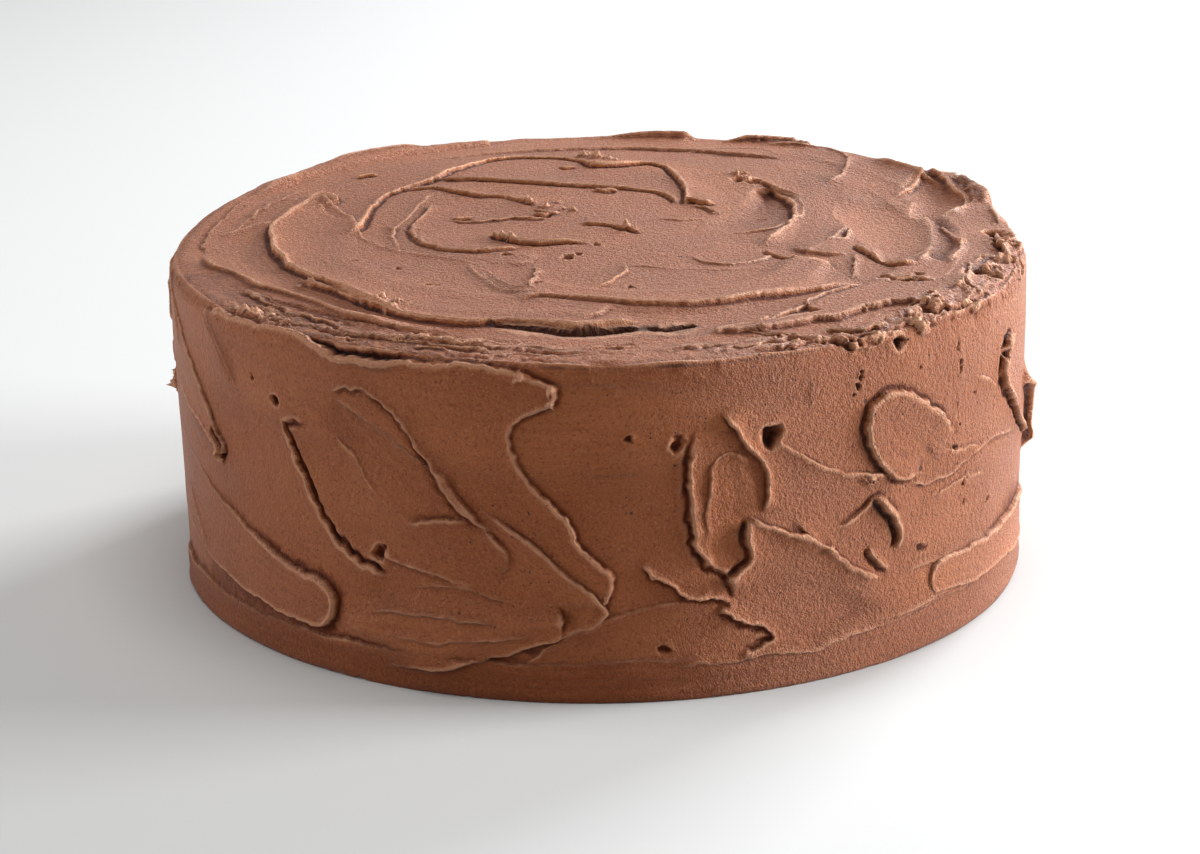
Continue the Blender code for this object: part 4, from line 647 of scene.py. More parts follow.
# The deep slots under the front of the large crescent
SLOTS = (
    Stroke(
        ((-24, -77.5), (-14, -80.6), (-6.5, -83.4), (0, -82.8), (6.5, -81)), (1.2, 2.8, 3.8, 3.8, 3.2),
        (-4.2, -5.0), ridge=(0, 0.3, 0), fade=(4, 0, 0), ragged=0.5,
    ),
    Stroke(
        ((9.5, -80), (14, -81.4), (20, -78.6)), (1.6, 2.8, 1.6), (-2.2, -2.8), ridge=(0, 0.3, 0),
        fade=(2, 0, 0),
    ),
)

# The top: x to the right, y away from the front
TOP_PASSES = (
    # the ring next to the rim, lower at the front
    Stroke(
        swirl((0, 0), (95, 95), (-20, -215), 13), (16, 20, 20), (0.2, 0.5), ridge=(0.04, 0.05, 0),
        streaks=0.1,
    ),
    Stroke(swirl((0, 0), (97, 97), (-114, -160)), (6, 12, 8), (1.7, 1.7), ridge=(0, 0, 0), fade=(12, 4, 4)),
    Stroke(
        swirl((0, 0), (94, 93), (150, 20)), (18, 18, 16), (0.6, 0.6), ridge=(0.04, 0.1, 0.1), streaks=0.12,
    ),
    Stroke(
        swirl((0, 0), (97, 96), (-66, 46)), (10, 18, 14), (-0.3, -0.6), ridge=(0, 0.1, 0.1),
        fade=(24, 0, 5), streaks=0.3, ragged=1.2,
    ),
    Edge(swirl((0, 0), (93, 98), (-62, -12)), reach=6, rise=0.4, ridge=0.42, hollow=0.4, ragged=1.5),
    # the ledge at the front left: it drops away from the top, and its torn face drops again to the side's lip
    Edge(
        ((-97, -10), (-93, -22), (-86, -31.5), (-80, -42.5), (-72.5, -49), (-65.6, -57.6), (-59, -66),
         (-50, -74), (-40, -80)), reach=12, rise=1.1, ridge=0.3, hollow=0.2, ends=(12, 14), slope=0.6,
        roll=3,
    ),
    Edge(
        ((-76, -66), (-66, -75), (-57, -79), (-48, -83), (-39, -87), (-30, -90.5), (-18, -94), (-8, -96),
         (4, -96.5)), reach=8, rise=0.7, ridge=0.35, hollow=0.5, ragged=1.6, ends=(6, 14), roll=2,
    ),
    Edge(
        ((-96, 5), (-89, 10.6), (-85, 14.2), (-81, 15)), reach=-5, rise=0.4, ridge=0.6, ends=(5, 2),
        roll=1.5,
    ),
    Edge(
        swirl((0, 0), (97, 98), (-84, -128)), reach=-5, rise=0.35, ridge=0.2, hollow=0.15, ends=(6, 10),
        ragged=1.0,
    ),
    Edge(swirl((0, 0), (91, 88), (-92, -122), 7), reach=6, rise=0.35, ridge=0.35, ends=(8, 10), ragged=1.2),
    Edge(((-65, 52), (-62, 54), (-58, 54)), reach=5, rise=0.4, ridge=0.5, hollow=0.7, ends=(2, 2)),
    # broad channels that the swirls lie in
    Stroke(
        swirl((-9, -6), (62, 60), (-165, 0)), (14, 22, 22), (0.5, 1.0), dish=0.7, ridge=(0.1, 0.1, 0),
        fade=(20, 6, 6),
    ),
    Stroke(
        swirl((-12, 2), (34, 30), (-175, -20)), (12, 16, 14), (0.4, 0.8), dish=0.6, ridge=(0.1, 0.1, 0),
        fade=(16, 5, 5),
    ),
    Stroke(
        swirl((12, -25), (37, 37), (-70, 75)), (14, 19, 16), (0.7, 1.0), dish=0.6, ridge=(0.1, 0.1, 0),
        fade=(16, 5, 5),
    ),
    Stroke(
        ((8, 66), (26, 48), (35, 24), (36, 4)), (14, 20, 20, 18), (0.4, 0.4), dish=0.6, ridge=(0.1, 0.1, 0),
        fade=(14, 5, 5),
    ),
    Stroke(
        ((52, 74), (59, 44), (60, 14), (54, -14)), (14, 18, 20, 16), (0.6, 1.0), dish=0.6,
        ridge=(0.1, 0.1, 0), fade=(14, 6, 6),
    ),
    Stroke(
        swirl((0, 0), (83, 82), (150, 40)), (12, 15, 14), (0.5, 0.9), dish=0.5, ridge=(0.1, 0.1, 0),
        fade=(16, 4, 4),
    ),
    # the large crescent on the left, whose front stands high over the ledge and over a deep slot
    Edge(
        ((-66, 30), (-69.5, 35.4), (-73.1, 35.8), (-76.2, 27.6), (-79.3, 19.5), (-81.6, 10), (-80.6, -2.6),
         (-77.5, -15.3), (-73.2, -27.6), (-68.1, -37.2), (-63, -45), (-58, -53), (-50, -63.7),
         (-44.5, -69)), reach=30, rise=1.3, ridge=0.7, hollow=0.6, ends=(2, 12), roll=2,
    ),
    Edge(
        ((-72, -36), (-62, -50), (-50, -64), (-40, -72.5), (-30, -77), (-20, -76), (-12, -78), (-4, -81),
         (2, -79), (10, -77)), reach=26, rise=1.6, ridge=0.36, hollow=0.3, ends=(16, 6), lean=0.8,
        slope=0.3,
    ),
    *SLOTS,
    Edge(
        ((-18, -62), (-15, -59.4), (-9, -60), (-1, -63), (10, -66), (22, -66), (36, -60), (50, -52),
         (62, -43)), reach=24, rise=1.1, ridge=0.3, hollow=0.3, ends=(3, 14),
    ),
    Edge(
        ((61, -46), (50, -58), (45, -66), (38.6, -74), (33, -80.5)), reach=-12, rise=0.6, ridge=0.5,
        ends=(6, 4), hollow=0.3, ragged=0.9,
    ),
    Edge(
        ((33, -80.5), (38, -84.5), (44, -88), (50, -89.5)), reach=7, rise=0.4, ridge=0.5, hollow=0.4,
        ends=(2, 4),
    ),
    Edge(((31, -82), (42, -87), (52, -90), (61, -86)), reach=9, rise=0.4, ridge=0.4, ends=(4, 6)),
    # the arcs inside the crescent
    Edge(
        ((-61, 0), (-59, 8), (-58, 22), (-54, 35), (-43, 48), (-36, 59), (-28, 69), (-16, 71), (-6, 66),
         (-1, 57)), reach=14, rise=1.0, ridge=0.55, hollow=0.7, ends=(6, 3),
    ),
    Edge(
        ((-3, 58), (6, 58), (13, 61), (18, 57), (20, 46), (22, 34), (22, 20)), reach=14, rise=1.2,
        ridge=0.6, hollow=0.9, ends=(3, 4),
    ),
    Edge(
        ((-42, 49), (-30, 45), (-19, 42), (-8, 39), (2, 36), (10, 33), (17, 29), (20, 21)), reach=9,
        rise=0.8, ridge=0.45, hollow=0.7, ends=(4, 3),
    ),
    Edge(
        ((-51, 39), (-43, 39), (-36, 34), (-30, 31), (-23, 28), (-15, 20)), reach=8, rise=0.7, ridge=0.4,
        hollow=0.6, ends=(4, 3),
    ),
    Edge(((-42, 35), (-44, 28), (-47, 17), (-49, 8), (-50, -2), (-48, -16)), reach=-8, rise=0.4, ridge=0.4),
    Edge(
        ((-42, 25), (-44, 16), (-46, 6), (-46, -1), (-44, -9), (-40, -16), (-34, -20), (-26, -20.5),
         (-18, -18)), reach=11, rise=0.6, ridge=0.3, hollow=0.5, ends=(4, 5),
    ),
    Edge(
        ((-72, 35.5), (-67, 25.7), (-61.8, 15), (-59.9, 6.5), (-55.8, -6.2), (-49.8, -14.7), (-42, -21.7),
         (-34, -27), (-26, -32)), reach=-12, rise=0.5, ridge=0.36, ends=(4, 10),
    ),
    Edge(((-31, -28), (-28, -39), (-24, -48), (-19, -54), (-11, -57)), reach=-6, rise=0.2, ridge=0.44),
    Edge(((-26, -33), (-24, -42), (-19, -50), (-12, -54)), reach=-5, rise=0.15, ridge=0.3),
    Edge(((-16, -31), (-14, -38), (-16, -47), (-15, -55)), reach=5, rise=0.3, ridge=0.7, ragged=1.0),
    Edge(((4, -32), (6, -38), (3, -46), (-2, -53)), reach=-6, rise=0.3, ridge=0.5),
    Edge(((5, -33), (15, -35.5), (28, -36), (40, -34)), reach=8, rise=0.15, ridge=0.2),
    # the curls in the middle
    Edge(
        ((-26, -5), (-23.5, -10), (-19, -14), (-13.5, -16), (-7, -15), (-1, -16)), reach=9, rise=0.8,
        ridge=0.75, hollow=1.2, lean=0.8, ragged=0.6, ends=(1, 8), crown=0.6,
    ),
    Edge(
        ((-5, 1), (1, 0), (6, -4), (12, -8)), reach=6, rise=0.5, ridge=0.55, hollow=0.8, ragged=0.8,
        ends=(2, 5),
    ),
    Edge(((-17, 18), (-12, 12), (-6, 15)), reach=5, rise=0.2, ridge=0.6, hollow=0.3, ragged=1.6),
    *(
        Edge(curl, reach=4, rise=0.3, ridge=0.5, hollow=0.9, ragged=1.0, ends=(2, 2))
        for curl in (
            ((-38, 12.5), (-34, 11.5), (-31, 12)),
            ((-17.5, 12), (-14, 11.4), (-11.5, 12.4)),
            ((-10, 57), (-7, 56.6), (-4.5, 58)),
        )
    ),
    Edge(
        ((-1.5, 34.5), (1.5, 32.4), (5.5, 32)), reach=4, rise=0.4, ridge=0.7, hollow=0.7, ragged=1.0,
        ends=(2, 2),
    ),
    Edge(
        ((22, 23), (26, 21.5), (30, 22)), reach=5, rise=0.6, ridge=0.9, hollow=0.8, ragged=0.9, ends=(2, 3),
    ),
    Edge(((-40, 12), (-32, 8), (-22, 9), (-11, 7)), reach=5, rise=0.2, ridge=0.44, hollow=0.3, ragged=1.6),
    Edge(((11, 9), (18, 6), (28, 8)), reach=5, rise=0.2, ridge=0.3, ragged=1.4),
    Edge(((22, 20), (27, 17), (30, 10)), reach=6, rise=0.3, ridge=0.6, hollow=0.3, ragged=1.4),
    # the scoops on the right: each is hollow, with a steep far wall
    Stroke(
        ((26, -4), (34, 4), (42, 16), (44, 29)), (10, 18, 20, 14), (0.7, -0.6), dish=1.4,
        ridge=(0, 0.5, 0.5), fade=(12, 6, 0),
    ),
    Edge(
        ((36, 43.5), (43, 41), (46.7, 33.9), (49, 24.3), (49.2, 16), (48, 9.9), (45.5, -0.6), (41.6, -10.8),
         (38, -17)), reach=12, rise=2.3, ridge=0.5, hollow=0.5, ends=(3, 8), slope=0.2,
    ),
    Edge(
        ((22, -26), (25, -30), (31, -32), (38, -29), (42, -24)), reach=8, rise=0.3, ridge=0.36, ends=(2, 2),
    ),
    Edge(((39, -20), (42, -24), (47, -28)), reach=6, rise=0.5, ridge=0.3, hollow=0.4, ends=(2, 2)),
    Edge(((72, 22), (64, 9), (59, -2), (54, -14), (48, -25)), reach=8, rise=0.3, ridge=0.4, ends=(8, 6)),
    Edge(
        ((54, -11.6), (59.8, -8.5), (62.4, 1.6), (65.2, 4), (66.4, -3.6), (65.2, -9.6)), reach=-4, rise=0.4,
        ridge=0.8, hollow=0.8, ragged=0.8, ends=(2, 2),
    ),
    Stroke(
        ((58, 29), (67, 20), (73, 6), (73, -12), (70, -24)), (8, 22, 24, 20, 8), (0.6, -0.3), dish=1.4,
        ridge=(0.2, 0, 0), fade=(14, 5, 0),
    ),
    Edge(
        ((76.6, 30.2), (81.7, 24.2), (84, 11.4), (83.7, 0), (81.5, -12.5), (78.3, -22.3), (74.5, -29.5)),
        reach=7, rise=1.7, ridge=0.5, slope=0.4, ends=(8, 4), roll=1.6,
    ),
    Edge(
        ((61, -13), (63.2, -18), (66.6, -26.1), (70.9, -29.9), (76, -29)), reach=9, rise=1.1, ridge=0.3,
        hollow=0.8, ends=(3, 4),
    ),
    Stroke(
        ((84, 20), (86, 6), (84.5, -10), (81, -24)), (3, 7, 8, 5), (0.4, 0.0), dish=0.8, ridge=(0, 0, 0),
        fade=(6, 3, 0),
    ),
    Edge(
        ((84, 9), (86.4, 0), (87.4, -11.7), (85.2, -21.4), (82, -28.5)), reach=6, rise=1.4, ridge=0.4,
        slope=0.4, ends=(5, 3), roll=1.5,
    ),
    Stroke(
        ((86, 52), (87, 40), (87, 28), (83, 18)), (5, 15, 16, 8), (0.3, -0.1), dish=1.3, ridge=(0, 0, 0),
        fade=(5, 0, 0),
    ),
    Edge(
        ((86.1, 54.9), (89.5, 46.8), (92.2, 37), (93.4, 28.5), (91, 20.8), (86, 16)), reach=7, rise=1.7,
        ridge=0.4, slope=0.4, ends=(4, 5), roll=2,
    ),
    Edge(
        ((86, 53.7), (83.4, 45), (79.6, 35), (74, 29)), reach=-10, rise=0.7, ridge=0.6, slope=0.4,
        ends=(3, 8),
    ),
    Edge(
        ((85.7, 60), (93.5, 50), (97.8, 35.7), (99.5, 19), (99.5, 8)), reach=5, rise=1.0, ridge=0.4,
        slope=0.5, ends=(5, 5), roll=2,
    ),
    Edge(
        ((44, 86), (56, 83), (63.9, 77.8), (67, 69), (66, 60.6), (63.2, 49.6), (58, 41)), reach=12,
        rise=1.3, ridge=0.4, slope=0.4, ends=(8, 8), roll=3,
    ),
    Edge(((20, 78), (34, 82), (45, 80), (50, 70)), reach=6, rise=0.18, ridge=0.21),
    Edge(((61, -19), (60, -32), (59, -43)), reach=6, rise=0.3, ridge=0.5, ragged=1.0),
    Edge(((66, -44), (72, -42), (80, -45)), reach=6, rise=0.3, ridge=0.5, hollow=0.8, ragged=1.8),
    # torn curls along the right of the rim
    Edge(((98, 2), (97, -12), (98, -28)), reach=8, rise=0.8, ridge=1.1, hollow=1.0, ragged=1.8),
    Edge(((92, -30), (86, -44), (88, -52)), reach=9, rise=0.8, ridge=1.1, hollow=1.0, ragged=1.8),
    Edge(((78, -52), (70, -66), (72, -78)), reach=8, rise=0.6, ridge=0.9, hollow=0.6, ragged=1.8),
    Edge(((48, -80), (56, -82), (64, -75)), reach=7, rise=0.6, ridge=1.0, hollow=0.8, ragged=1.8),
    # the lumps that stand up on the far rim
    Edge(
        swirl((0, 0), (98, 98), (-130, -152)), reach=9, rise=1.5, ridge=0.2, ends=(12, 8), slope=0.5,
        roll=5,
    ),
    Edge(
        ((88, 53), (93, 44), (96.5, 35), (98.5, 25)), reach=9, rise=4.2, ridge=0.3, ends=(9, 6), slope=0.4,
        roll=5,
    ),
    Edge(
        ((-8, 97.5), (4, 97), (16, 96), (28, 95)), reach=10, rise=3.0, ridge=0.3, ends=(26, 4), slope=0.5,
        roll=5,
    ),
    Edge(
        ((72, 68), (79, 60), (85, 51), (90, 42)), reach=-9, rise=1.6, ridge=0.4, ends=(8, 8), slope=0.5,
        roll=4,
    ),
    Edge(
        ((34, 91), (44, 90), (52, 87), (60, 83)), reach=10, rise=2.4, ridge=0.5, ragged=1.6, ends=(8, 8),
        slope=0.4, roll=4,
    ),
)

# Torn cavities: the place as degrees round and mm up on the side or x and y on the top, then radius and
# depth in mm
SIDE_HOLES = (
    (20.2, 59, 2.0, 2.6),
    (8.8, 59.5, 1.4, 1.2),
    (3.2, 61, 1.0, 0.8),
    (-44, 61.5, 1.3, 1.4),
    (-48, 66, 0.8, 0.8),
    (-28.5, 31, 1.6, 1.4),
    (7, 11.5, 1.1, 0.9),
    (43.5, 26, 1.2, 1.0),
    (32.7, 70.2, 0.7, 0.8),
    (32.6, 68.5, 0.6, 0.7),
    (32.5, 66.7, 0.8, 0.9),
    (31.8, 64.7, 0.5, 0.6),
    (50.7, 69.7, 0.7, 0.7),
    (51.1, 64.9, 0.8, 0.7),
    (42.6, 67.9, 0.5, 0.5),
    (54.6, 56.9, 0.5, 0.6),
    (51.1, 56.1, 0.5, 0.5),
    (51.1, 50.0, 0.5, 0.6),
    (49.4, 45.7, 0.8, 0.7),
    (52.4, 37.0, 0.7, 0.8),
    (58.3, 28.2, 0.8, 1.0),
    (52.9, 31.3, 0.6, 0.7),
    (63.5, 62.0, 1.3, 2.0),
    (31.0, 76.5, 1.2, 1.2),
    (33.0, 77.2, 0.9, 1.0),
)
TOP_HOLES = (
    (37.0, 45.0, 2.2, 1.6),
    (41.0, 42.0, 1.8, 1.4),
    (-39.5, -46.3, 1.1, 1.2),
    (-37.8, -46.8, 0.8, 0.9),
    (-14.1, -47.7, 0.9, 1.2),
    (-7.4, -27.9, 1.3, 1.2),
    (-5.0, -25.5, 1.0, 1.0),
    (-22.4, -23.9, 1.0, 1.0),
    (-6.5, -16.4, 0.9, 1.0),
    (0.0, -17.7, 0.8, 0.8),
    (7.9, -50.3, 0.9, 0.8),
    (-58.1, -23.8, 0.7, 0.6),
    (-46.8, -33.0, 0.7, 0.6),
    (40.3, 12.7, 0.8, 0.8),
    (65.7, -41.5, 1.5, 1.2),
    (67.8, -43.2, 1.2, 1.0),
    (70.2, -43.5, 1.4, 1.2),
    (72.3, -42.5, 1.3, 1.0),
    (74.2, -38.6, 1.2, 0.8),
    (88.5, -36.5, 2.7, 3.8),
    (91.5, -38.5, 1.8, 2.6),
    (98.5, 0.5, 2.7, 3.4),
    (99.5, -3.5, 1.8, 2.4),
    (74.8, -66.0, 2.0, 3.0),
    (77.5, -64.0, 1.3, 1.8),
    (66.2, -82.5, 1.6, 2.2),
    (48.5, -90.0, 1.2, 1.5),
    (51.0, -88.6, 1.5, 1.8),
    (54.0, -86.6, 1.1, 1.2),
)

# Crumbs and torn curls that stand up: place, radius and height in mm
SIDE_CRUMBS = (
    (-82.5, 48.5, 2.4, 3.6),
    (-57.0, 43.0, 1.6, 1.4),
    (28.0, 31.0, 1.4, 1.0),
    (34.5, 45.0, 1.5, 0.9),
    (-6.2, 71.4, 1.3, 1.2),
    (-5.9, 69.0, 1.1, 1.1),
    (-9.5, 74.6, 1.2, 0.9),
    (-3.6, 39.5, 1.0, 0.8),
    (-86.0, 71.0, 2.2, 1.5),
    (-88.0, 66.0, 1.8, 1.2),
)
TOP_CRUMBS = (
    (-2.7, 70.0, 2.6, 1.8),
    (0.5, 66.9, 2.2, 1.6),
    (3.5, 64.0, 1.6, 1.2),
    (-16.4, 22.6, 1.3, 1.2),
    (-12.8, 19.6, 1.5, 1.2),
    (-9.8, 22.9, 1.2, 1.0),
    (-6.7, 16.4, 1.4, 1.2),
    (6.6, -3.5, 1.8, 1.6),
    (-22.0, -11.0, 1.6, 1.6),
    (37.0, 50.0, 2.2, 1.8),
    (-66.4, -44.1, 2.0, 1.2),
    (-47.7, -61.5, 2.0, 1.6),
    (-45.5, -66.5, 2.6, 0.9),
    (-43.0, -63.0, 1.4, 1.8),
    (-79.9, -61.4, 2.0, 1.3),
    (-77.0, -62.5, 2.2, 1.5),
    (-74.2, -66.7, 2.0, 1.3),
    (-70.3, -73.0, 1.8, 1.1),
    (88.3, -10.1, 1.6, 1.2),
    (96.0, -24.7, 2.6, 1.6),
    (100.0, -13.0, 2.6, 1.6),
    (84.4, -49.9, 2.4, 1.6),
    (76.2, -60.5, 2.4, 1.4),
    (71.2, -75.0, 2.6, 1.4),
    (60.0, -83.0, 2.4, 1.2),
    (84.8, -58.5, 2.6, 1.4),
    (93.0, -32.0, 2.0, 1.2),
)

# The back is spread by the same knife: passes laid from the rim down, each a little out of line
BACK_PASSES = 30
BACK_RANGE = (92, 268)

# The torn strings and curls along the rim
RIM_CURLS = 82
LEDGE_STRINGS = 44


def back_passes():
    """Passes for the part of the side that faces away from the front: smears, and edges of broad facets."""
    dice = np.random.default_rng(11)
    for turn in range(BACK_PASSES):
        start, height = dice.uniform(*BACK_RANGE), dice.uniform(8, 70)
        run, climb = dice.uniform(12, 34) * dice.choice((-1, 1)), dice.uniform(-30, 18)
        end = min(max(start + run, BACK_RANGE[0]), BACK_RANGE[1])
        bow = dice.uniform(-7, 7)
        path = tuple(
            (start + share * (end - start), height + share * climb + bow * math.sin(math.pi * share))
            for share in (0, 0.35, 0.7, 1)
        )
        if turn % 3:
            yield Edge(
                path, reach=dice.choice((-1, 1)) * dice.uniform(9, 28), rise=dice.uniform(0.5, 1.4),
                ridge=dice.uniform(0.2, 0.6), hollow=dice.uniform(0, 0.7), ends=(5, 12),
                ragged=dice.uniform(0.7, 1.3), crown=dice.uniform(0.2, 0.6),
            )
        else:
            broad = dice.uniform(14, 28)
            yield Stroke(
                path, (0.6 * broad, broad, 0.8 * broad, 0.4 * broad),
                (dice.uniform(-0.2, 0.3), dice.uniform(0.6, 1.6)),
                dish=dice.uniform(0, 0.5), ridge=(0, dice.uniform(0.3, 0.6), dice.uniform(0.5, 1.0)),
                fade=(16, 0.3 * broad, 0), ragged=1.1,
            )


def frosted(cells):
    """The frosting over a grid of points, with the grid's faces and its lowest ring."""
    angle, reach, faces, foot = cake_grid(cells)
    frosting = Frosting(angle, reach)
    sway(frosting)
    for stroke in back_passes():
        frosting.lay(stroke, side=True)
    for what in SIDE_PASSES:
        frosting.lay(what, side=True)
    for what in (*TOP_PASSES, *torn_passes()):
        frosting.lay(what, side=False)
    crumble_rim(frosting)
    for side, holes, crumbs in ((True, SIDE_HOLES, SIDE_CRUMBS), (False, TOP_HOLES, TOP_CRUMBS)):
        for across, up, radius, depth in holes:
            hole(frosting, (across, up), radius, depth, side)
        for across, up, radius, height in crumbs:
            crumb(frosting, (across, up), radius, height, side)
    return frosting, faces, foot


def sway(frosting):
    """The cake is not quite round: long swells, and frosting that has slumped at the lower right."""
    frosting.bulk += 0.8 * noise(frosting.base, 48.0, 21) + 0.3 * noise(frosting.base, 17.0, 22)
    degrees, up = np.degrees(frosting.angle), frosting.base[:, 2]
    frosting.bulk += 2.2 * np.exp(-(((degrees - 45) / 11) ** 2) - ((up - 4) / 17) ** 2)


def ridged(points, size, seed):
    """Sharp ridges from 0 to 1 about the given size apart, in millimetres."""
    return np.maximum(1 - 2.8 * np.abs(noise(points, size, seed)), 0) ** 1.5


def torn_passes():
    """Short curls and strings along the rim: long and fine on the ledge at the front, rough on the right."""
    dice = np.random.default_rng(5)
    for curl in range(RIM_CURLS):
        place = dice.uniform(0, 1)
        if curl < LEDGE_STRINGS:
            degrees = -56 + 84 * place
            length, reach = dice.uniform(9, 26), dice.uniform(91, 101)
            rise, ridge = 0.12, dice.uniform(0.15, 0.5)
            turn = dice.uniform(-4, 4)
        else:
            degrees = 22 + 66 * place
            length, reach = dice.uniform(4, 12), dice.uniform(94, 106)
            rise, ridge = 0.2, dice.uniform(0.15, 0.6)
            turn = dice.uniform(-30, 30)
        middle = math.radians(degrees)
        along = np.array([math.cos(middle), math.sin(middle)])
        outward = np.array([math.sin(middle), -math.cos(middle)])
        steps = np.array([-0.5, 0, 0.5]) * length
        bend = dice.uniform(-0.12, 0.12) * length
        path = [
            outward * (reach + step * math.sin(math.radians(turn)) + bend * (step == 0)) + along * step
            for step in steps
        ]
        yield Edge(
            tuple(map(tuple, path)), reach=dice.choice((-1, 1)) * dice.uniform(3, 5), rise=rise, ridge=ridge,
            hollow=0.7 * ridge, ragged=1.5, ends=(0.3 * length, 0.3 * length), roll=1.5,
        )


def crumble_rim(frosting):
    """The thin lip that the side's frosting makes where it meets the top, and the torn rim."""
    degrees = np.degrees(frosting.angle)
    ring_radius = CAKE_RADIUS / 4
    across, away = np.sin(frosting.angle) * ring_radius, -np.cos(frosting.angle) * ring_radius
    ring = np.stack([across, away, frosting.reach], 1)
    past_rim = frosting.reach - TOP_RADIUS - RIM_ARC / 2
    patches = noise(frosting.base, 11.0, 33)
    right = np.exp(-(((degrees - 58) / 32) ** 4))
    front = np.exp(-(((degrees + 4) / 50) ** 4))
    torn = eased(1.1 - np.abs(past_rim + 3) / 8 + 0.9 * patches)
    warped = frosting.base + 2.5 * np.stack([frosting.wander[:, 0], frosting.wander[:, 1], patches], 1)
    frosting.detail += torn * (0.1 + 0.28 * right + 0.15 * front) * ridged(warped, 4.5, 32)
    face = eased(1 - np.abs(past_rim + 2.5) / 3.5) * np.exp(-(((degrees + 30) / 30) ** 4))
    frosting.detail += 0.5 * face * noise(warped, 1.6, 39)
    frosting.detail -= 0.3 * torn * right * ridged(warped, 3.4, 38)
    frosting.bulk += np.exp(-((past_rim / 7) ** 2)) * right * (0.7 * noise(frosting.base, 12.0, 34) - 0.5)

    lip = 77.0 + 1.2 * noise(ring, 6.0, 35)
    gap = SIDE_HEIGHT + TOP_RADIUS + RIM_ARC - frosting.reach - lip
    crest = (0.1 + 0.8 * frosting.patchy) * np.exp(-((gap / 0.6) ** 2))
    frosting.detail += crest
    frosting.slip[:, 1] -= 0.7 * crest
    # along the front the lip gets a knife line's painted highlight, with painted shade just under it
    press = 0.5 * np.exp(-((gap / 1.3) ** 2) - ((degrees - 8) / 30) ** 4) * frosting.patchy
    nearer = press > frosting.press
    frosting.line[nearer] = gap[nearer]
    frosting.press[nearer] = press[nearer]


def around(frosting, place, radius, side, ragged):
    """The points near a place, with how far each lies from it as a share of the radius."""
    middle = np.array(place, float)
    if side:
        middle[0] = math.radians(middle[0]) * CAKE_RADIUS
    index, here = frosting.nearby(middle[None], 3 * radius + 2, side, ragged)
    return index, np.hypot(*(here - middle).T) / radius


def hole(frosting, place, radius, depth, side):
    """A small torn cavity, left by a bubble or a crumb."""
    index, gap = around(frosting, place, radius, side, 1.3)
    frosting.detail[index] -= depth * np.exp(-(gap**4))
    frosting.detail[index] += 0.3 * frosting.crumbly[index] * np.exp(-(((gap - 1.5) / 0.4) ** 2))


def crumb(frosting, place, radius, height, side):
    """A crumb or a torn curl that stands up from the frosting."""
    index, gap = around(frosting, place, radius, side, 1.5)
    here = frosting.base[index]
    torn = ridged(here, 0.9 * radius, 51) + 0.6 * ridged(here, 0.45 * radius, 52)
    lump = height * np.exp(-(gap**3)) * (0.1 + 0.9 * torn)
    frosting.detail[index] += lump
    # the top of a crumb gets a knife line's painted highlight
    higher = lump > np.maximum(frosting.press[index], 0.25)
    frosting.press[index[higher]] = np.minimum(0.6 * lump[higher], 0.5)
    frosting.line[index[higher]] = 0.2


def mesh_of(name, points, faces, foot):
    """A closed mesh in metres, with one flat face underneath."""
    mesh = bpy.data.meshes.new(name)
    mesh.from_pydata(points * MM, [], [*faces.tolist(), foot[::-1].tolist()])
    mesh.validate()
    return mesh


def store(mesh, name, values):
    """Keeps a number for each point on the mesh, for the material to read."""
    mesh.attributes.new(name, "FLOAT", "POINT").data.foreach_set("value", np.asarray(values, np.float32))


def thinned(cake, triangles):
    """The same surface with fewer triangles: most are kept where the frosting bends most."""
    cake.data.calc_loop_triangles()
    fewer = cake.modifiers.new("Fewer", "DECIMATE")
    fewer.use_collapse_triangulate = True
    fewer.ratio = triangles / len(cake.data.loop_triangles)
    mesh = bpy.data.meshes.new_from_object(cake.evaluated_get(bpy.context.evaluated_depsgraph_get()))
    cake.modifiers.remove(fewer)
    return mesh


def read(collection, name, kind=np.float32, width=1):
    """One property of every point, corner or face as an array."""
    values = np.empty(width * len(collection), kind)
    collection.foreach_get(name, values)
    return values.reshape(-1, width) if width > 1 else values


def lay_out_map(mesh):
    """A texture map for the cake: the top as a disc, the side as strips beside it, and the underside."""
    places = read(mesh.vertices, "co", width=3) / MM
    reach = read(mesh.attributes["reach"].data, "value")
    corner = read(mesh.loops, "vertex_index", np.int32)
    start = read(mesh.polygons, "loop_start", np.int32)
    count = read(mesh.polygons, "loop_total", np.int32)
    middle = np.stack([np.add.reduceat(places[corner, axis], start) / count for axis in range(3)], 1)
    face = np.repeat(np.arange(len(count)), count)
    mean_angle = np.arctan2(middle[:, 0], -middle[:, 1])[face]
    under = (middle[:, 2] < 1e-3)[face]
    on_top = (np.add.reduceat(reach[corner], start) / count < TOP_RADIUS + RIM_ARC / 2)[face]

    turn = 2 * math.pi
    angle, reach = np.arctan2(places[:, 0], -places[:, 1])[corner], reach[corner]
    disc = np.stack([reach * np.sin(angle), -reach * np.cos(angle)], 1) + MAP_DISC / 2
    strip = np.minimum((mean_angle % turn / turn * MAP_STRIPS).astype(int), MAP_STRIPS - 1)
    past_middle = (angle - mean_angle + math.pi) % turn - math.pi
    past_start = mean_angle % turn + past_middle - strip * turn / MAP_STRIPS
    side = np.stack(
        [
            MAP_DISC + MAP_GAP + past_start * CAKE_RADIUS,
            (strip + 1) * MAP_STRIP_PITCH - (reach - TOP_RADIUS - RIM_ARC / 2) - MAP_GAP / 2,
        ],
        1,
    )
    underside = UNDERSIDE_SCALE * places[corner][:, :2] * (1, -1) + (MAP_DISC / 2, MAP_SIZE - MAP_DISC * 0.4)
    chart = np.where(under[:, None], underside, np.where(on_top[:, None], disc, side))
    mesh.uv_layers.new(name="OFBake").data.foreach_set("uv", (chart / MAP_SIZE).astype(np.float32).ravel())


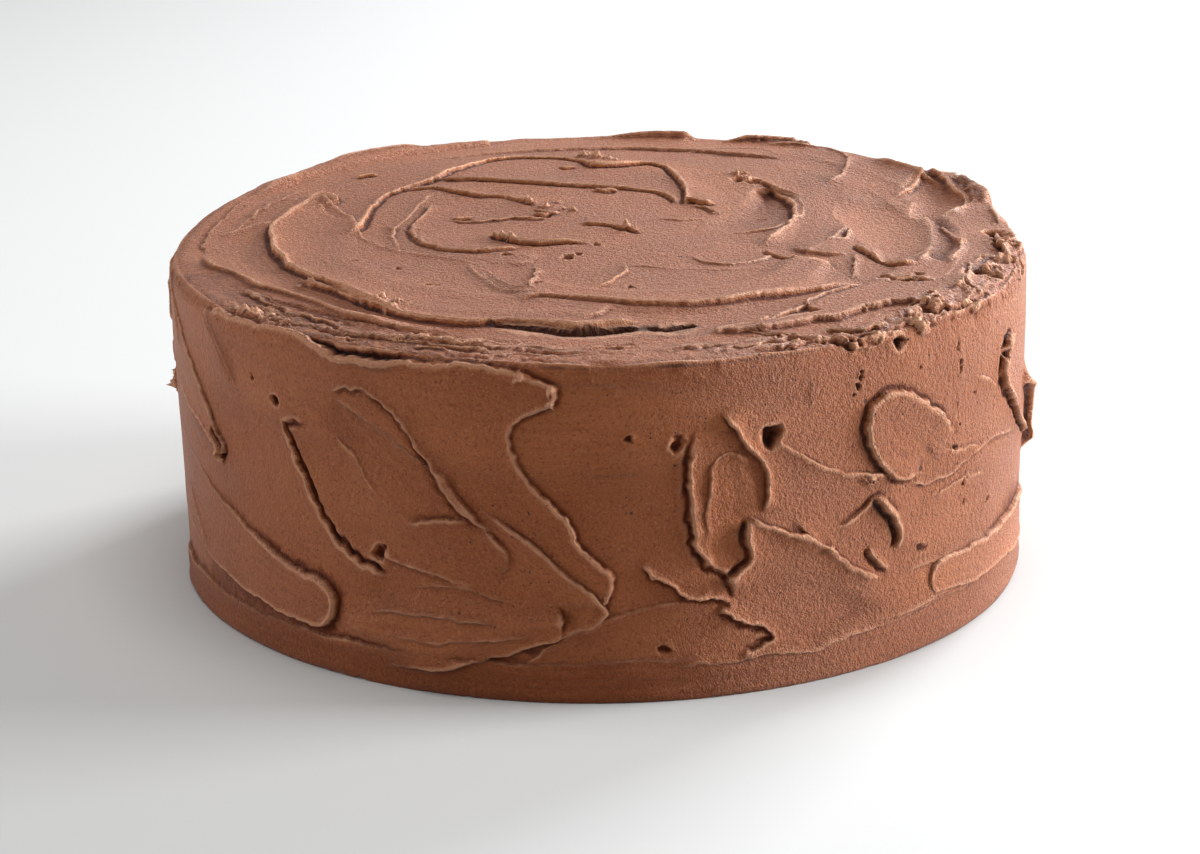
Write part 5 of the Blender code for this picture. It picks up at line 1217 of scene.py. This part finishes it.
class Nodes:
    """Short calls for building a material from nodes. A value is a number, a colour or a node's output."""

    def __init__(self, tree):
        self.tree = tree

    def add(self, kind, inputs, **settings):
        """A node with these settings, and a value for each socket that inputs names."""
        node = self.tree.nodes.new(kind)
        for name, value in settings.items():
            setattr(node, name, value)
        for socket, value in inputs.items():
            self.put(node.inputs[socket], value)
        return node

    def put(self, socket, value):
        """Links a node's output to the socket, or sets the socket to a number or a colour."""
        if isinstance(value, bpy.types.NodeSocket):
            self.tree.links.new(value, socket)
        else:
            socket.default_value = value

    def calculate(self, operation, *values):
        node = self.tree.nodes.new("ShaderNodeMath")
        node.operation = operation
        for socket, value in zip(node.inputs, values):
            self.put(socket, value)
        return node.outputs[0]

    def chain(self, operation, values):
        """The values joined two by two from the left."""
        result = values[0]
        for value in values[1:]:
            result = self.calculate(operation, result, value)
        return result

    def plus(self, *values):
        return self.chain("ADD", values)

    def times(self, *values):
        return self.chain("MULTIPLY", values)

    def most(self, *values):
        return self.chain("MAXIMUM", values)

    def least(self, *values):
        return self.chain("MINIMUM", values)

    def between(self, share, low, high):
        """low where the share is 0, and high where it is 1."""
        return self.calculate("MULTIPLY_ADD", share, high - low, low)

    def scaled(self, vector, by):
        by = (by,) * 3 if isinstance(by, (int, float)) else by
        return self.add("ShaderNodeVectorMath", {0: vector, 1: by}, operation="MULTIPLY").outputs[0]

    def noise(self, place, size, detail=2.0, roughness=0.5):
        """Noise from -1 to 1 with bumps of this size in millimetres."""
        inputs = {"Vector": place, "Scale": 1.0 / size, "Detail": detail, "Roughness": roughness}
        return self.between(self.add("ShaderNodeTexNoise", inputs).outputs["Fac"], -1.0, 1.0)

    def attribute(self, name):
        """A number that the mesh keeps for each point."""
        node = self.add("ShaderNodeAttribute", {}, attribute_name=name, attribute_type="GEOMETRY")
        return node.outputs["Fac"]

    def step(self, value, low, high):
        """0 below low and 1 above high, smooth between them. It falls instead where low is the greater."""
        inputs = {"Value": value, "From Min": low, "From Max": high}
        return self.add("ShaderNodeMapRange", inputs, interpolation_type="SMOOTHSTEP").outputs["Result"]

    def bell(self, value, centre, width):
        """1 at the centre, falling to nothing about twice the width away."""
        apart = self.calculate("DIVIDE", self.calculate("SUBTRACT", value, centre), width)
        return self.calculate("POWER", math.e, self.times(apart, apart, -1.0))

    def blend(self, share, below, above):
        """The colour below, covered by this share of the colour above."""
        node = self.add("ShaderNodeMix", {}, data_type="RGBA")
        for socket, value in zip((node.inputs[0], node.inputs[6], node.inputs[7]), (share, below, above)):
            self.put(socket, value)
        return node.outputs[2]

    def pits(self, place, cell, largest):
        """Round pits, one in each cell of the given size and most of them tiny: 1 in a pit, 0 outside."""
        node = self.add("ShaderNodeTexVoronoi", {"Vector": place, "Scale": 1.0 / cell, "Randomness": 1.0})
        chance = self.add("ShaderNodeSeparateColor", {0: node.outputs["Color"]}).outputs[0]
        radius = self.times(self.calculate("POWER", chance, 3.0), largest)
        return self.step(self.calculate("DIVIDE", node.outputs["Distance"], radius), 1.0, 0.55)


class Patterns:
    """What the look of the buttercream is mixed from, at each point of its surface."""

    def __init__(self, nodes):
        place = nodes.scaled(nodes.add("ShaderNodeTexCoord", {}).outputs["Object"], 1.0 / MM)
        self.sideways, _, self.up_the_side = nodes.add("ShaderNodeSeparateXYZ", {0: place}).outputs
        normal = nodes.add("ShaderNodeNewGeometry", {}).outputs["Normal"]
        self.facing_up = nodes.most(nodes.add("ShaderNodeSeparateXYZ", {0: normal}).outputs[2], 0.0)
        to_the_right = nodes.step(self.sideways, ROUGH_FROM, ROUGH_TO)
        self.rough = nodes.most(self.facing_up, nodes.times(to_the_right, ROUGH_SIDE))

        # all over
        self.grain = nodes.noise(place, GRAIN_SIZE, 3.0, 0.6)
        self.coarse_grain = nodes.noise(place, COARSE_GRAIN_SIZE, 2.0)
        # dips in the grain, which are also painted with shade, and the grain's painted highlights
        self.shaded_dip = nodes.noise(nodes.scaled(place, (1.0, 0.6, 1.0)), SHADED_DIP_SIZE, 3.0, 0.7)
        self.grain_highlight = nodes.noise(nodes.scaled(place, (1.0, -0.6, 1.0)), GRAIN_HIGHLIGHT_SIZE, 3.0, 0.7)
        self.cloud = nodes.noise(place, CLOUD_SIZE, 2.0)
        airy = nodes.attribute("airy")
        pits = [nodes.pits(place, cell, nodes.times(airy, largest)) for cell, largest in PITS]
        self.pits = nodes.most(*pits)

        # each stroke's own shade, the marks along it, and the level lines scraped into the foot
        self.shade = nodes.attribute("shade")
        shift = nodes.times(self.shade, 40.0)
        stroke = {0: nodes.attribute("along"), 1: nodes.attribute("across"), 2: shift}
        along_stroke = nodes.add("ShaderNodeCombineXYZ", stroke).outputs[0]
        self.marks = nodes.noise(nodes.scaled(along_stroke, (0.06, 1.0, 1.0)), MARK_SIZE, 2.0)
        scraped = nodes.noise(nodes.scaled(place, (0.03, 0.03, 1.0)), SCRAPE_SIZE, 2.0)
        self.scraped = nodes.times(scraped, nodes.step(self.up_the_side, 11.0, 8.0))

        # the edges of the strokes: a painted highlight on the crest, a painted glow of light through the
        # frosting beside it, and painted shade in the crease, coming and going along them
        line, press = nodes.attribute("line"), nodes.attribute("press")
        self.crest = nodes.times(press, nodes.bell(line, *CREST_BAND))
        self.glow = nodes.times(press, nodes.bell(line, *GLOW_BAND))
        self.crease = nodes.times(press, nodes.bell(line, *CREASE_BAND))
        self.patchy = nodes.between(nodes.step(nodes.noise(place, PATCH_SIZE, 2.0), -0.2, 0.25), 0.3, 1.0)

        # painted shade in hollows, in the slots and deep holes and on the ledge's torn face, a painted
        # highlight on what stands up, and painted shade on the foot at the left
        hollow = nodes.attribute("hollow")
        # painted highlight where the frosting stands over its surroundings, painted shade where it lies under
        # them
        self.raised = nodes.step(hollow, -0.05, -0.4)
        self.hollow_shade = nodes.times(nodes.step(hollow, 0.03, 0.38), 0.95)
        # painted shade in the slots and deep holes, and in the deepest hollows
        slot_shadow = nodes.times(nodes.attribute("slot"), nodes.step(nodes.attribute("height"), 2.2, 1.5))
        self.torn = nodes.most(nodes.step(hollow, 0.35, 0.8), slot_shadow)
        self.ledge = nodes.attribute("ledge")
        # painted shade on the foot at the left
        low, left = nodes.step(self.up_the_side, 13.0, 5.0), nodes.step(self.sideways, 60.0, -60.0)
        self.foot = nodes.times(low, left)


def buttercream():
    """Chocolate buttercream: matt, finely grained and pitted, with painted highlights on its crests and
    painted shade in its creases, pits and hollows.
    """
    material = bpy.data.materials.new("chocolate_buttercream")
    material.use_nodes = True
    shader = material.node_tree.nodes["Principled BSDF"]
    nodes = Nodes(material.node_tree)
    seen = Patterns(nodes)
    height = fine_relief(nodes, seen)
    bump = nodes.add("ShaderNodeBump", {"Strength": 1.0, "Distance": MM, "Height": height})
    nodes.put(shader.inputs["Normal"], bump.outputs["Normal"])
    nodes.put(shader.inputs["Base Color"], brown(nodes, seen))
    unevenness = nodes.plus(ROUGHNESS, nodes.times(seen.cloud, 0.06), nodes.times(seen.grain, 0.06))
    # how strongly the knife line shows here, in the fine relief and as painted highlight, glow and shade
    nodes.put(shader.inputs["Roughness"], unevenness)
    shader.inputs["Metallic"].default_value = 0.0
    # less gloss where shade is painted: in the slots, deep holes and hollows, and on the foot
    dull = nodes.most(seen.torn, seen.hollow_shade, nodes.times(seen.foot, 0.7))
    nodes.put(shader.inputs["Specular IOR Level"], nodes.between(dull, GLOSS, DULL_GLOSS))
    shader.inputs["Sheen Weight"].default_value = SHEEN
    shader.inputs["Specular Tint"].default_value = GLOSS_TINT
    return material


def fine_relief(nodes, seen):
    """The height of the relief that is finer than the mesh, in millimetres."""
    return nodes.plus(
        nodes.times(seen.grain, nodes.between(seen.rough, GRAIN_DEPTH, GRAIN_DEPTH_TOP)),
        nodes.times(seen.coarse_grain, nodes.between(seen.rough, COARSE_GRAIN_DEPTH, COARSE_GRAIN_DEPTH_TOP)),
        nodes.times(seen.shaded_dip, -SHADED_DIP_DEPTH),
        nodes.times(seen.scraped, SCRAPE_DEPTH),
        nodes.times(seen.marks, MARK_DEPTH),
        nodes.times(seen.pits, -PIT_DEPTH),
        nodes.times(seen.crest, CREST_HEIGHT),
        nodes.times(seen.crease, -CREASE_DEPTH),
    )


def brown(nodes, seen):
    """The colour: a mix of two browns, covered layer by layer by shares of the others, most of which are
    painted highlight, glow and shade.
    """
    mix = nodes.plus(
        0.5,
        nodes.times(seen.cloud, 0.35),
        nodes.times(seen.shade, 0.3),
        nodes.times(seen.grain, 0.6),
        nodes.times(seen.marks, 0.35),
    )
    colour = nodes.blend(nodes.least(nodes.most(mix, 0.0), 1.0), DEEP_BROWN, MILKY_BROWN)
    glint_share = nodes.between(seen.facing_up, GRAIN_HIGHLIGHTS, GRAIN_HIGHLIGHTS_TOP)
    layers = (
        # painted shade in the grain's dips, and the grain's painted highlights, more of them on what faces up
        (nodes.times(nodes.step(seen.shaded_dip, 0.04, 0.42), DIP_SHADE), SHADED_BROWN),
        (nodes.times(nodes.step(seen.grain_highlight, 0.02, 0.42), glint_share), HIGHLIGHT_BROWN),
        # painted shade on the ledge's torn face, in hollows and on the foot, and a painted highlight on what
        # stands up
        (seen.ledge, SHADED_BROWN),
        (seen.hollow_shade, SHADED_BROWN),
        (nodes.times(seen.foot, FOOT_SHADE), SHADED_BROWN),
        (nodes.times(seen.raised, 0.5), HIGHLIGHT_BROWN),
        # the knife lines' painted highlight, painted shade in their creases, and their painted glow
        (nodes.least(nodes.times(seen.crest, seen.patchy, 2.8), 0.85), HIGHLIGHT_BROWN),
        (nodes.least(nodes.times(seen.crease, seen.patchy, 2.4), 0.8), SHADOW_BROWN),
        (nodes.least(nodes.times(seen.glow, 1.6), 0.5), GLOW_BROWN),
        # painted shade in the pits, and in the slots, the deep holes and the deepest hollows
        (nodes.times(seen.pits, 0.9), SHADOW_BROWN),
        (seen.torn, SHADOW_BROWN),
    )
    for share, cover in layers:
        colour = nodes.blend(share, colour, cover)
    return colour


def build_cake():
    """The frosted cake as one closed mesh, with what its material reads kept at each point."""
    frosting, faces, foot = frosted(TOP_CELLS)
    points = frosting.points()
    points[foot, 2] = 0.0
    fine = mesh_of("fine", points, faces, foot)
    height = frosting.bulk + frosting.detail
    kept = {
        "line": frosting.line,
        "press": frosting.press,
        "along": frosting.along,
        "across": frosting.across,
        "shade": frosting.tone,
        "airy": airiness(frosting),
        "reach": frosting.reach,
        "height": height,
        "slot": slot_shade(frosting),
        "ledge": ledge_shade(frosting),
        "hollow": softened(height, faces) - height,
    }
    for name, values in kept.items():
        store(fine, name, values)
    cake = bpy.data.objects.new("frosting", fine)
    bpy.context.scene.collection.objects.link(cake)
    cake.data = thinned(cake, TRIANGLE_LIMIT)
    cake.data.shade_smooth()
    lay_out_map(cake.data)
    cake.data.materials.append(buttercream())
    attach(cake, "root")
    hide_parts("frosted_cake")
    return cake


def softened(height, faces):
    """The height at each point averaged with that of its surroundings."""
    ends = np.concatenate([faces[:, [i, (i + 1) % 4]] for i in range(4)])
    ends = np.concatenate([ends, ends[:, ::-1]])
    count = np.bincount(ends[:, 0])
    cell = 2 * TOP_RADIUS / TOP_CELLS
    for turn in range(round(4 * (HOLLOW_REACH / cell) ** 2)):
        height = 0.5 * height + 0.5 * np.bincount(ends[:, 0], height[ends[:, 1]]) / count
    return height


def slot_shade(frosting):
    """Painted shade: 1 in the slots and the deep holes that are torn in the top and on their walls, 0
    outside.
    """
    dark = np.zeros(len(frosting.angle))
    for slot in SLOTS:
        path = smooth_path(slot.path, 8 * len(slot.path))
        index, place = frosting.nearby(path, 8.0, False, slot.ragged)
        share, _, gap, _, _ = nearest(path, place)
        half = np.interp(share, np.linspace(0, 1, len(slot.width)), slot.width) / 2
        dark[index] = np.maximum(dark[index], eased((half - gap + 0.7) / 0.4))
    for across, up, radius, depth in TOP_HOLES:
        index, gap = around(frosting, (across, up), radius, False, 1.3)
        if depth > DARK_HOLE:
            dark[index] = np.maximum(dark[index], eased((1.1 - gap) / 0.3))
    return dark


def ledge_shade(frosting):
    """How dark the painted shade on the torn face of the ledge at the front left is."""
    degrees = np.degrees(frosting.angle)
    along = eased((degrees + 82) / 10) * eased((-12 - degrees) / 16)
    band = eased((frosting.reach - LEDGE_BAND[0]) / 4) * eased((LEDGE_BAND[1] - frosting.reach) / 2)
    return LEDGE_SHADE * along * band * eased(0.7 + 0.7 * noise(frosting.base, 3.0, 42))


def airiness(frosting):
    """How pitted the frosting is: most at the lower right, and in patches."""
    degrees, up = np.degrees(frosting.angle), frosting.base[:, 2]
    right = np.exp(-(((degrees - 44) / 26) ** 2)) * eased(up / 20)
    return np.clip(0.6 + 0.4 * noise(frosting.base, 16.0, 41) + 0.5 * right, 0.15, 1.2)


def floor():
    """A pale matt floor that runs out past the edges of the picture."""
    mesh = bpy.data.meshes.new("floor")
    turns = [2 * math.pi * corner / FLOOR_CORNERS for corner in range(FLOOR_CORNERS)]
    corners = [(FLOOR_REACH * math.cos(turn), FLOOR_REACH * math.sin(turn), 0.0) for turn in turns]
    mesh.from_pydata(corners, [], [range(len(corners))])
    material = bpy.data.materials.new("floor")
    material.use_nodes = True
    shader = material.node_tree.nodes["Principled BSDF"]
    shader.inputs["Base Color"].default_value = FLOOR_COLOUR
    shader.inputs["Roughness"].default_value = 0.9
    shader.inputs["Specular IOR Level"].default_value = 0.2
    mesh.materials.append(material)
    plane = bpy.data.objects.new("floor", mesh)
    bpy.context.scene.collection.objects.link(plane)


def sky():
    """Faint even light from all round."""
    world = bpy.data.worlds.new("studio")
    bpy.context.scene.world = world
    world.use_nodes = True
    background = world.node_tree.nodes["Background"]
    background.inputs["Color"].default_value = SKY_COLOUR
    background.inputs["Strength"].default_value = SKY_STRENGTH


def panel(name, degrees, climb, distance, size, power, tint):
    """A soft square light that faces the middle of the cake."""
    turn, rise = math.radians(degrees), math.radians(climb)
    towards = Vector((math.sin(turn) * math.cos(rise), -math.cos(turn) * math.cos(rise), math.sin(rise)))
    lamp = bpy.data.lights.new(name, "AREA")
    lamp.shape = "SQUARE"
    lamp.size = size
    lamp.energy = power
    lamp.color = tint
    light = bpy.data.objects.new(name, lamp)
    light.location = AIM + distance * towards
    light.rotation_mode = "QUATERNION"
    light.rotation_quaternion = (-towards).to_track_quat("-Z", "Y")
    light.visible_camera = False
    bpy.context.scene.collection.objects.link(light)


def camera():
    """The camera at the photo's place and angle."""
    lens = bpy.data.cameras.new("camera")
    lens.sensor_width = 36.0
    lens.lens = LENS
    viewer = bpy.data.objects.new("camera", lens)
    turn = Matrix.Rotation(math.pi / 2 - CAMERA_PITCH, 4, "X") @ Matrix.Rotation(CAMERA_ROLL, 4, "Z")
    viewer.matrix_world = Matrix.Translation(CAMERA_PLACE) @ turn
    bpy.context.scene.collection.objects.link(viewer)
    bpy.context.scene.camera = viewer


build_cake()
floor()
sky()
for light in PANELS:
    panel(*light)
camera()
bpy.context.scene.view_settings.view_transform = "Standard"
